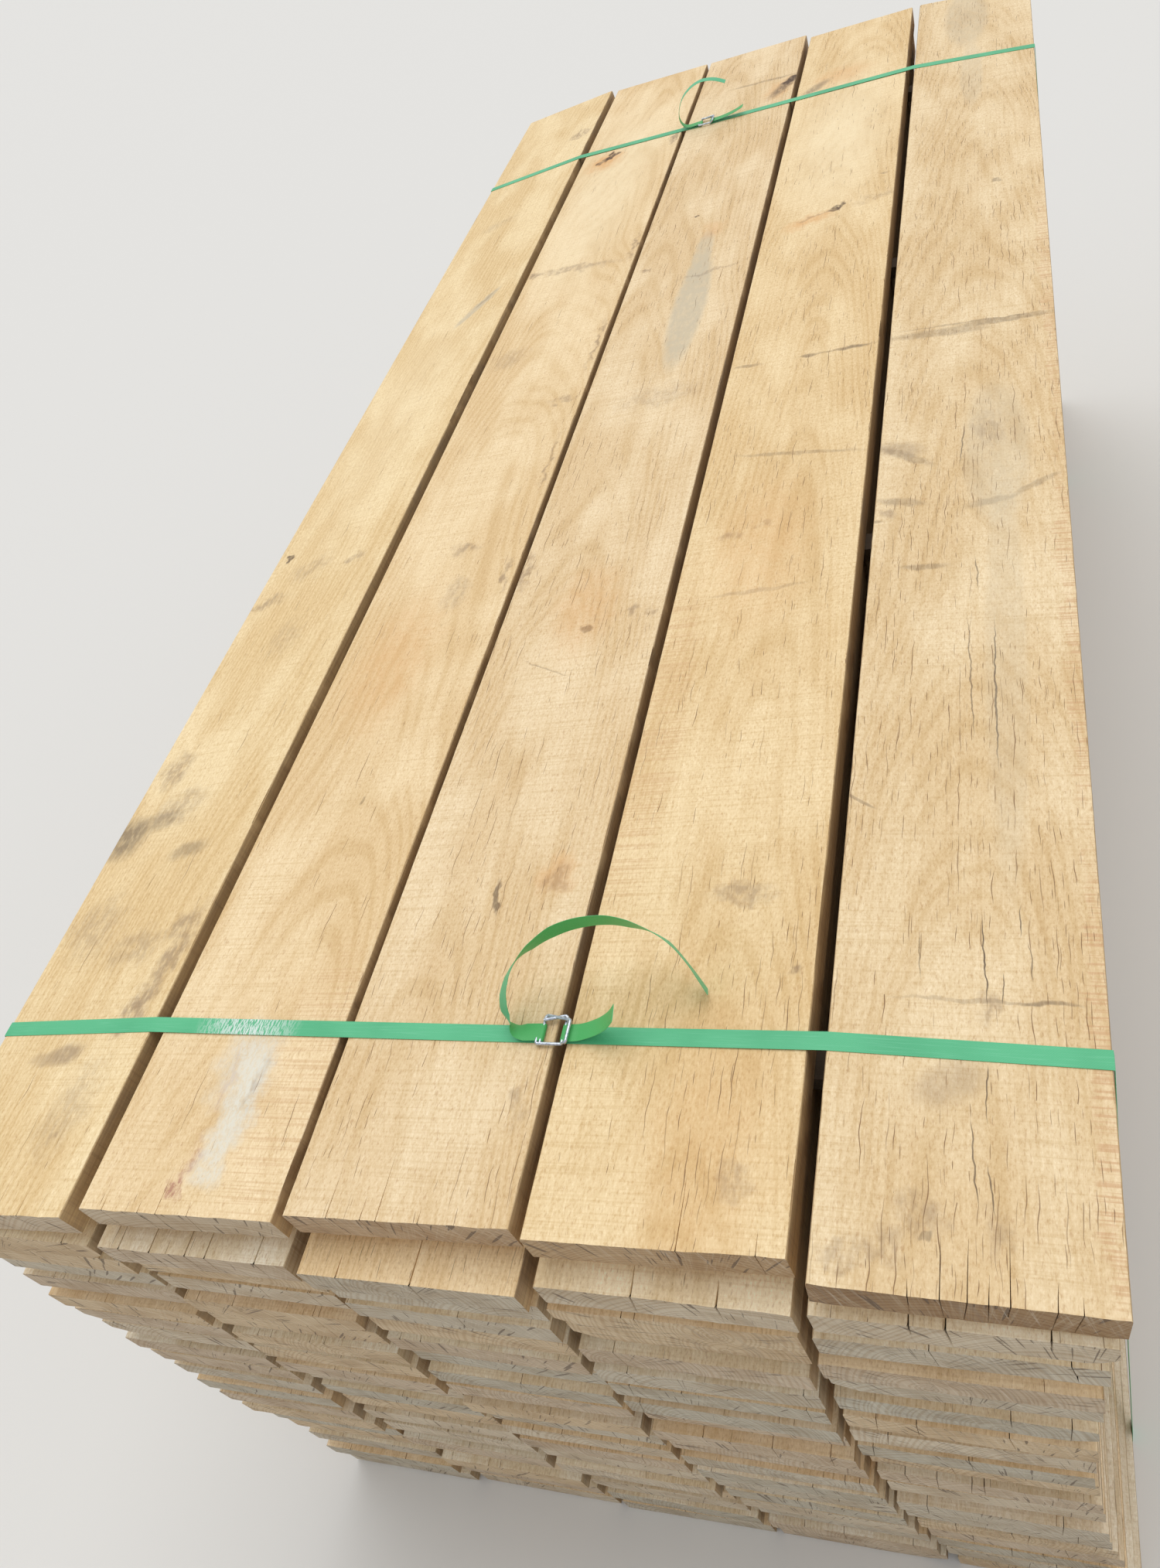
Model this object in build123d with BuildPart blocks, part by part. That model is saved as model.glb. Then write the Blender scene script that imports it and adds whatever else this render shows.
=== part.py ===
from build123d import *
from math import pi, sin
from random import Random
import os

# A strapped pack of sawn hardwood boards. All sizes are in millimetres.
# X runs across the pack, Y along the boards from the near end to the far end, and Z up.
# The origin is at the bottom centre of the pack. Layer 1 and its laths are the top ones,
# and column 1 is the left one, as seen from the near end.

# Boards
board_length = 2460.0
board_width = 200.0
board_thickness = 33.0
board_gap = 9.0
columns = 5
layers = 19

# Sawn boards are never all alike: they come out a little narrow, and lie uneven
width_loss = 3.0
length_spread = 16.0
end_stagger = 5.0
side_play_share = 0.18

# The pack bows to the left halfway down, and its foot stands further right than its top
side_bow = -27.0
foot_shift = 14.0

# The near face leans back a little towards the foot
face_lean = 14.0
face_start = -8.0

# Near ends of the two top layers, one figure a board, the minus sign towards the viewer
top_near_ends = (-13.1, 0.0, 11.0, 9.0, -3.2)
second_near_ends = (-17.0, -16.0, -19.0, -9.5, -8.0)
top_length_changes = (26.0, 8.0, 0.0, -14.0, -1.0)

# Widths of the top boards, as losses from the full width
top_width_losses = (0.0, 2.0, 0.0, 1.0, 0.0)

# Places of the top boards beside their even spacing, in shares of the gap
top_side_shares = (0.16, 0.28, 0.0, 0.04, 0.14)

# Ends are not cut quite square: how far the right corner of an end lies behind the left one
top_skews = (2.2, 4.6, 5.0, 4.2, 3.1)
skew_spread = 1.5

# Laths between the layers
lath_thickness = 16.5
lath_width = 28.0
lath_inset = 25.0
lath_rows = ("near_end", "near_middle", "far_middle", "far_end")

# The top laths are short: they end just under the outer boards, which tip over their ends
top_lath_reach = 8.0
tip_clearance = 0.3

# Straps
strap_width = 16.0
strap_thickness = 0.8
strap_clearance = 0.1
near_strap_inset = 178.0
far_strap_inset = 325.0

# Wire buckles: one bent wire, with its ends crossed on the far side and a second side on the right
wire_diameter = 3.0
wire_clearance = 0.15
buckle_opening = 16.6
buckle_side_margin = 2.2
crossed_end_rise = 6.5
outer_side_step = 4.8
wire_stub = 5.0
wire_stub_step = 3.6
wire_corner = 2.2
near_buckle_from_centre = 97.8
far_buckle_from_centre = -60.0

# Wane, where the board was sawn through the round of the log: layer, column, side, width, height
wane_edges = (
    (2, 1, "right", 14.0, 12.0),
    (2, 5, "right", 16.0, 12.0),
    (3, 4, "left", 18.0, 14.0),
    (4, 4, "left", 22.0, 11.0),
    (5, 2, "right", 24.0, 12.0),
    (5, 5, "left", 20.0, 14.0),
    (6, 5, "right", 26.0, 13.0),
    (7, 1, "left", 22.0, 15.0),
    (8, 1, "left", 28.0, 13.0),
    (9, 3, "right", 14.0, 10.0),
    (11, 2, "left", 20.0, 12.0),
    (13, 4, "right", 18.0, 11.0),
    (15, 1, "right", 16.0, 12.0),
    (17, 3, "left", 22.0, 13.0),
    (19, 4, "right", 26.0, 14.0),
)

# Tails of the straps: a straight run from the buckle bar, and then arcs of a radius and a turn
# in degrees, which curl upwards from the board
near_long_run = 18.0
near_long_curl = ((12.0, 80.0), (36.0, 70.0), (130.0, 48.0), (60.0, 50.0), (90.0, 12.0))
near_short_run = 6.0
near_short_curl = ((60.0, 55.0),)
far_long_run = 14.0
far_long_curl = ((20.0, 80.0), (42.0, 62.0), (75.0, 45.0), (70.0, 25.0))
far_short_run = 20.0
far_short_curl = ((160.0, 18.0),)

# Values that follow from the sizes above
layer_pitch = board_thickness + lath_thickness
pack_bottom = strap_thickness + strap_clearance
pack_top = pack_bottom + layers * board_thickness + (layers - 1) * lath_thickness
column_pitch = board_width + board_gap
middle_column = (columns - 1) / 2
wire_radius = wire_diameter / 2
fold_radius = wire_radius + wire_clearance + strap_thickness / 2
random_seed = 19
middle_line_height = strap_clearance + strap_thickness / 2
half_turn = 180.0


def layer_bottom(layer):
    return pack_top - board_thickness - (layer - 1) * layer_pitch


def layer_drift(layer):
    depth = (layer - 1) / (layers - 1)
    return side_bow * sin(pi * depth) + foot_shift * depth * depth


def near_end(layer, column, chance):
    if layer == 1:
        return top_near_ends[column]
    if layer == 2:
        return second_near_ends[column]
    depth = (layer - 1) / (layers - 1)
    return face_start + face_lean * depth + chance.uniform(-end_stagger, end_stagger)


def board_places():
    """The place and size of every board, layer by layer, before the pack is centred."""
    chance = Random(random_seed)
    places = []
    for layer in range(1, layers + 1):
        row = []
        for column in range(columns):
            share = chance.uniform(-side_play_share, side_play_share)
            change = chance.uniform(-length_spread, length_spread)
            skew = chance.uniform(-skew_spread, skew_spread)
            start = near_end(layer, column, chance)
            loss = chance.uniform(0, width_loss)
            if layer == 1:
                loss = top_width_losses[column]
                share = top_side_shares[column]
                change = top_length_changes[column]
                skew = top_skews[column]
            row.append({
                "centre": (column - middle_column) * column_pitch + layer_drift(layer)
                + share * board_gap,
                "width": board_width - loss,
                "start": start,
                "length": board_length + change,
                "skew": skew,
                "bottom": layer_bottom(layer),
                "slope": 0.0,
            })
        places.append(row)
    return places


def tip_outer_boards(row):
    """Turn the outer top boards down over the ends of the short laths, on to the next layer."""
    for board, side in ((row[0], -1), (row[-1], 1)):
        slope = lath_thickness / (board["width"] - top_lath_reach)
        board["slope"] = side * slope
        board["bottom"] += tip_clearance + slope * (top_lath_reach - board["width"] / 2)


def centre_pack(places):
    """Move all boards so that the strapped pack is centred on the origin."""
    left = min(corner[0] for row in places for board in row for corner in section(board))
    right = max(corner[0] for row in places for board in row for corner in section(board))
    first = min(board["start"] - abs(board["skew"]) / 2 for row in places for board in row)
    last = max(board["start"] + board["length"] + abs(board["skew"]) / 2
               for row in places for board in row)
    for row in places:
        for board in row:
            board["centre"] -= (left + right) / 2
            board["start"] -= (first + last) / 2
    return -(left + right) / 2, -(first + last) / 2


def section(board):
    """The four corners of a board's section, across and up."""
    half = board["width"] / 2
    tilt = board["slope"]
    across = 1 / (1 + tilt * tilt) ** 0.5
    fall = tilt * across
    corners = []
    for side, height in ((-half, 0), (half, 0), (half, board_thickness), (-half, board_thickness)):
        corners.append((board["centre"] + side * across + height * fall,
                        board["bottom"] - side * fall + height * across))
    return corners


def turn(origin, first, second):
    return ((first[0] - origin[0]) * (second[1] - origin[1])
            - (first[1] - origin[1]) * (second[0] - origin[0]))


def taut_outline(points):
    """The corners that a tight strap passes round, in order."""
    ordered = sorted(set(points))
    outline = []
    for run in (ordered, ordered[::-1]):
        chain = []
        for point in run:
            while len(chain) > 1 and turn(chain[-2], chain[-1], point) <= 0:
                chain.pop()
            chain.append(point)
        outline += chain[:-1]
    return outline


def wane_of(layer, column):
    for wane_layer, wane_column, side, width, height in wane_edges:
        if (wane_layer, wane_column) == (layer, column + 1):
            return side, width, height
    return None


def end_outline(board, wane):
    """A board's end, in its own plane, with the wane that cuts off a lower corner."""
    half = board["width"] / 2
    outline = [(half, board_thickness), (-half, board_thickness)]
    left = [(-half, 0)]
    right = [(half, 0)]
    if wane:
        side, width, height = wane
        if side == "left":
            left = [(-half, height), (-half + width, 0)]
        else:
            right = [(half - width, 0), (half, height)]
    return outline + left + right


places = board_places()
tip_outer_boards(places[0])
side_shift, length_shift = centre_pack(places)

os.makedirs("parts", exist_ok=True)

# The boards, one node for each layer
for layer in range(1, layers + 1):
    with BuildPart() as board_layer:
        for column, board in enumerate(places[layer - 1]):
            lean = board["skew"] / board["width"]
            end_plane = Plane(
                origin=(board["centre"], board["start"], board["bottom"]),
                x_dir=(1, lean, -board["slope"]),
                z_dir=(lean, -1, 0),
            )
            with BuildSketch(end_plane):
                with BuildLine():
                    Polyline(*end_outline(board, wane_of(layer, column)), close=True)
                make_face()
            extrude(amount=board["length"], dir=(0, 1, 0))
    board_layer.part.label = f"layer_{layer:02d}"
    export_step(board_layer.part, f"parts/layer_{layer:02d}.step")

# The laths, one node for each row along the pack
near_strap_y = near_strap_inset + length_shift
far_strap_y = board_length - far_strap_inset + length_shift
row_step = (far_strap_y - near_strap_y) / (len(lath_rows) - 1)


def lath_ends(gap):
    """Where the laths under a layer begin and end, across the pack."""
    upper = places[gap - 1]
    lower = places[gap]
    if gap == 1:
        inner_left = upper[0]["centre"] + upper[0]["width"] / 2
        inner_right = upper[-1]["centre"] - upper[-1]["width"] / 2
        return inner_left - top_lath_reach, inner_right + top_lath_reach
    left = max(row[0]["centre"] - row[0]["width"] / 2 for row in (upper, lower))
    right = min(row[-1]["centre"] + row[-1]["width"] / 2 for row in (upper, lower))
    return left + lath_inset, right - lath_inset


for row_number, row_name in enumerate(lath_rows):
    row_y = near_strap_y + row_number * row_step
    with BuildPart() as laths:
        for gap in range(1, layers):
            left, right = lath_ends(gap)
            with BuildSketch(Plane.XY.offset(layer_bottom(gap) - lath_thickness)):
                with Locations(((left + right) / 2, row_y)):
                    Rectangle(right - left, lath_width)
            extrude(amount=lath_thickness)
    laths.part.label = f"laths_{row_name}"
    export_step(laths.part, f"parts/laths_{row_name}.step")

# The strap's outline over the outermost board corners
corners = [corner for row in places for board in (row[0], row[-1]) for corner in section(board)]
strap_outline = taut_outline(corners)


def top_run(across):
    """The middle line of the strap on top of the pack: a point of it, and its direction."""
    for right, left in zip(strap_outline, strap_outline[1:] + strap_outline[:1]):
        if left[0] <= across < right[0]:
            direction = (Vector(right) - Vector(left)).normalized()
            foot = Vector(left) + direction * (across - left[0])
            return foot + direction.rotate(Axis.Z, half_turn / 2) * middle_line_height, direction


def bar_places(buckle_x):
    """Across the pack, where the two buckle bars run that hold the strap's folds."""
    half = buckle_opening / 2 + wire_radius
    return buckle_x - half, buckle_x + half


def folded_end(bar_x, side, run, curl):
    """The middle line of one strap end: flat to the bar, folded back over it, and its free tail."""
    start, direction = top_run(bar_x)
    line = Line(start + direction * side * fold_radius, start)
    line = JernArc(start, direction * -side, fold_radius, -side * half_turn)
    line = Line(line @ 1, (line @ 1) + (line % 1) * run)
    for radius, angle in curl:
        line = JernArc(line @ 1, line % 1, radius, side * angle)


def make_strap(name, strap_y, buckle_x, ends):
    """One plastic band: round the pack, folded back round both buckle bars, with free tails."""
    left_bar, right_bar = bar_places(buckle_x)
    with BuildPart() as strap:
        with BuildSketch(Plane.XZ.offset(strap_width / 2 - strap_y)):
            with BuildLine():
                Polyline(*strap_outline, close=True)
                offset(amount=strap_clearance + strap_thickness, kind=Kind.INTERSECTION)
            make_face()
            with BuildLine():
                Polyline(*strap_outline, close=True)
                offset(amount=strap_clearance, kind=Kind.INTERSECTION)
            make_face(mode=Mode.SUBTRACT)
            with Locations(top_run(buckle_x)[0]):
                Rectangle(right_bar - left_bar + fold_radius, fold_radius, mode=Mode.SUBTRACT)
            for bar_x, side, (run, curl) in zip((left_bar, right_bar), (-1, 1), ends):
                with BuildLine():
                    folded_end(bar_x, side, run, curl)
                trace(line_width=strap_thickness)
        extrude(amount=-strap_width)
    strap.part.label = name
    export_step(strap.part, f"parts/{name}.step")


def make_buckle(name, strap_y, buckle_x):
    """A bent wire: two bars hold the folds, one side runs over the short tail, the ends cross."""
    left_bar, right_bar = bar_places(buckle_x)
    outer_side = right_bar + outer_side_step
    height = top_run(buckle_x)[0].Y + fold_radius
    over_tail = height + 2 * wire_clearance + strap_thickness + wire_diameter
    over_wire = height + wire_diameter
    near_y = strap_y - strap_width / 2 - buckle_side_margin
    far_y = strap_y + strap_width / 2 + buckle_side_margin
    crossed_y = far_y + crossed_end_rise
    long_route = (
        (left_bar - wire_stub_step, near_y + wire_stub, height),
        (left_bar - wire_stub_step, near_y, height),
        (right_bar, near_y, height),
        (outer_side, near_y, over_tail),
        (outer_side, far_y, over_tail),
        (left_bar, crossed_y, height),
        (left_bar, near_y, height),
    )
    short_route = (
        (right_bar, near_y, height),
        (right_bar, crossed_y, height),
        (left_bar, far_y, over_wire),
    )
    with BuildPart() as buckle:
        for route in (long_route, short_route):
            with BuildLine():
                wire = FilletPolyline(*route, radius=wire_corner)
            with BuildSketch(Plane(origin=wire @ 0, z_dir=wire % 0)):
                Circle(wire_radius)
            sweep(path=wire)
    buckle.part.label = name
    export_step(buckle.part, f"parts/{name}.step")


near_ends_of_strap = ((near_long_run, near_long_curl), (near_short_run, near_short_curl))
far_ends_of_strap = ((far_long_run, far_long_curl), (far_short_run, far_short_curl))
for place, strap_y, buckle_from_centre, ends in (
    ("near", near_strap_y, near_buckle_from_centre, near_ends_of_strap),
    ("far", far_strap_y, far_buckle_from_centre, far_ends_of_strap),
):
    buckle_x = buckle_from_centre + side_shift
    make_strap(f"strap_{place}", strap_y, buckle_x, ends)
    make_buckle(f"buckle_{place}", strap_y, buckle_x)
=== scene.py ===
from math import cos, pi, radians, sin

import bmesh
import bpy
import numpy as np
from mathutils import Matrix, Quaternion, Vector


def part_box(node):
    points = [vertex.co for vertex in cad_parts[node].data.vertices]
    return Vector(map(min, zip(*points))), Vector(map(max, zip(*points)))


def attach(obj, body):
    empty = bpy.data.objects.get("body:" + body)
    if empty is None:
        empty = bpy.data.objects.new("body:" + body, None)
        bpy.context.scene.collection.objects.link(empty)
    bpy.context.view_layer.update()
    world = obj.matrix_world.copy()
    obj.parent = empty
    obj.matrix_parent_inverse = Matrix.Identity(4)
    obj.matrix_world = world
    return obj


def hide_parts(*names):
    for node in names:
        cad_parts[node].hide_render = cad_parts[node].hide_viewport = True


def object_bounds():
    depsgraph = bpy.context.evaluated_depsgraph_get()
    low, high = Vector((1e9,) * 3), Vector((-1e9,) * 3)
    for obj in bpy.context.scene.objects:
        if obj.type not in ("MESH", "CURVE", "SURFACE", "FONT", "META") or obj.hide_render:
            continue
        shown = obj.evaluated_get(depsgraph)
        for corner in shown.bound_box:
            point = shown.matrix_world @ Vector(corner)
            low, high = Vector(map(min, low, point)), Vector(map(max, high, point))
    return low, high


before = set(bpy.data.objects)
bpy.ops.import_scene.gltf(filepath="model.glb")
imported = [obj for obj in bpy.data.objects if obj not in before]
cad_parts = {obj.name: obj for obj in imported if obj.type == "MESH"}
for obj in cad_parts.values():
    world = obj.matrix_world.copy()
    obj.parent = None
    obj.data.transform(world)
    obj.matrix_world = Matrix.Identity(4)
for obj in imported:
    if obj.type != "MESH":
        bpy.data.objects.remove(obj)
cad_low, cad_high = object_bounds()

# Sizes given here are in millimetres, and this turns them into the scene's metres
mm = 0.001
weld = 0.01 * mm
rounding_digits = 6

# The camera, as worked out from the board corners: its focal length is in the photo's pixels
camera_place = (505.98, -1517.20, 1736.66)
camera_yaw = -30.7778
camera_pitch = 43.1369
camera_roll = -25.5625
camera_focal = 1556.6
photo_height = 2028
sensor_size = 36.0

# Light and floor
sky_light = 0.69
sky_shade = (244, 247, 252)
sun_power = 1.36
sun_spread = 60.0
sun_direction = (0.10, -0.42, -0.90)
floor_shade = (226, 223, 217)
floor_size = 60.0

# Boards: how finely each is divided, with the places of its lines close to both ends
top_stations = 230
lower_stations = 22
end_stations = (0, 1.2, 3.5, 7, 12, 20, 30, 42, 56, 72)
top_lines_across = 26
lower_lines_across = 11
lines_up = 3
board_smooth_angle = 32

# Corners of a board's solid deeper than this share of its thickness belong to its lower edges
lower_edge_share = 0.1

# How far apart the boards lie in the wood's patterns, so that no two share one figure, and the
# seed of everything that is left to chance
pattern_shift = 9.0
seed = 41

# Wear of the boards' edges, all round and at the ends: runs and sizes of its unevenness, and its
# shares on the narrow sides, on the faces and at the ends
arris = 1.3
arris_wear = 0.55
wear_runs = (9, 60)
wear_size = 0.5
side_wear_share = 0.35
face_wear_share = 0.7
end_gap = 0.2
tear_runs = ((4, 0.3), (25, 0.5))
tear_at_edge = 1.5
tear_inside = 0.5
wane_fade = 4

# Chips: those listed fade out down the board, and small chance ones are spread along it
chip_slope = 1.4
chip_end = 0.2
chip_count = 14
chip_depth = 1.2
chip_half_lengths = (5, 22)

# End checks: half width, widest in the second layer, depths from the top and from the end, and how
# each one tapers, bends, sways, leans and reaches down
crack_half_width = 0.4
second_crack_half_width = 0.8
crack_clearance = 3
crack_depth = 7
crack_end_depth = 3
crack_taper = 0.6
crack_tip_share = 0.15
crack_bends = (14, 30)
crack_sway = 1.2
crack_lean = 0.14
crack_reaches = (0.5, 1.3)
chance_cracks = (0, 4)
chance_crack_lengths = (14, 70)
crack_edge_margin = 12
crack_spacing = 9

# Mean colours of the top boards, and the range of the lower ones, as 0 to 255 levels
top_shades = ((241, 215, 167), (240, 213, 168), (237, 211, 169), (238, 210, 162), (236, 210, 167))
lower_shades = ((246, 232, 204), (242, 226, 196), (240, 216, 178), (236, 224, 200), (232, 216, 188))
top_end_shades = ((200, 180, 152), (203, 184, 156), (192, 164, 130), (186, 156, 118), (158, 127, 90))
end_shades = ((206, 190, 164), (196, 184, 162), (208, 184, 148), (199, 179, 152), (189, 180, 160))

# Second layer, whose near ends show below the top boards: its colours, lightened against the shade under the
# top boards, which is painted light
second_lightened_shades = ((248, 234, 204), (246, 232, 204), (252, 226, 182), (250, 230, 192), (248, 232, 200))

# Fine shrinkage checks of each top board, from none to many, and the lower boards' range
check_shares = (0.10, 0.12, 0.65, 0.60, 1.0)
lower_check_shares = (0.05, 0.5)

# Heart of the log that each top board was sawn from: across and down from the board, and how
# much the rings drift along it, with the lower boards' ranges
top_hearts = ((120, -90, 0.03), (18, -150, 0.055), (-40, -120, 0.035), (10, -95, 0.05), (6, -130, 0.06))
lower_hearts = ((-90, 90), (-150, 20), (-0.05, 0.05))

# End checks of the near ends: layer, column, and for each one its place across the pack and length
near_cracks = {
    (1, 2): ((-275, 14), (-237, 12), (-218, 34), (-186, 12)),
    (1, 3): ((-54, 36), (-23, 16), (-9, 50), (28, 10)),
    (1, 4): ((235, 52), (292, 14)),
    (1, 5): ((390, 9), (410, 40), (427, 42), (440, 14), (453, 44), (481, 20), (496, 8)),
    (2, 1): ((-480, 30), (-350, 18)),
    (2, 2): ((-285, 30), (-251, 34), (-213, 60), (-192, 56), (-141, 60)),
    (2, 3): ((8, 70), (-60, 16)),
    (2, 4): ((190, 24), (255, 20)),
    (2, 5): ((388, 16), (412, 22), (478, 14)),
}

# Chips out of the upper edges: layer, column, side, place along the pack, half length and depth
edge_chips = (
    (1, 1, 1, 44, 34, 3.4),
    (1, 1, 1, -8, 20, 2.6),
    (1, 1, 1, 93, 14, 5.5),
    (1, 4, 1, 3, 16, 3.4),
    (1, 4, 1, -940, 60, 1.4),
    (1, 3, 1, -597, 14, 2.8),
    (1, 2, 1, -1190, 20, 1.6),
)

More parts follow.
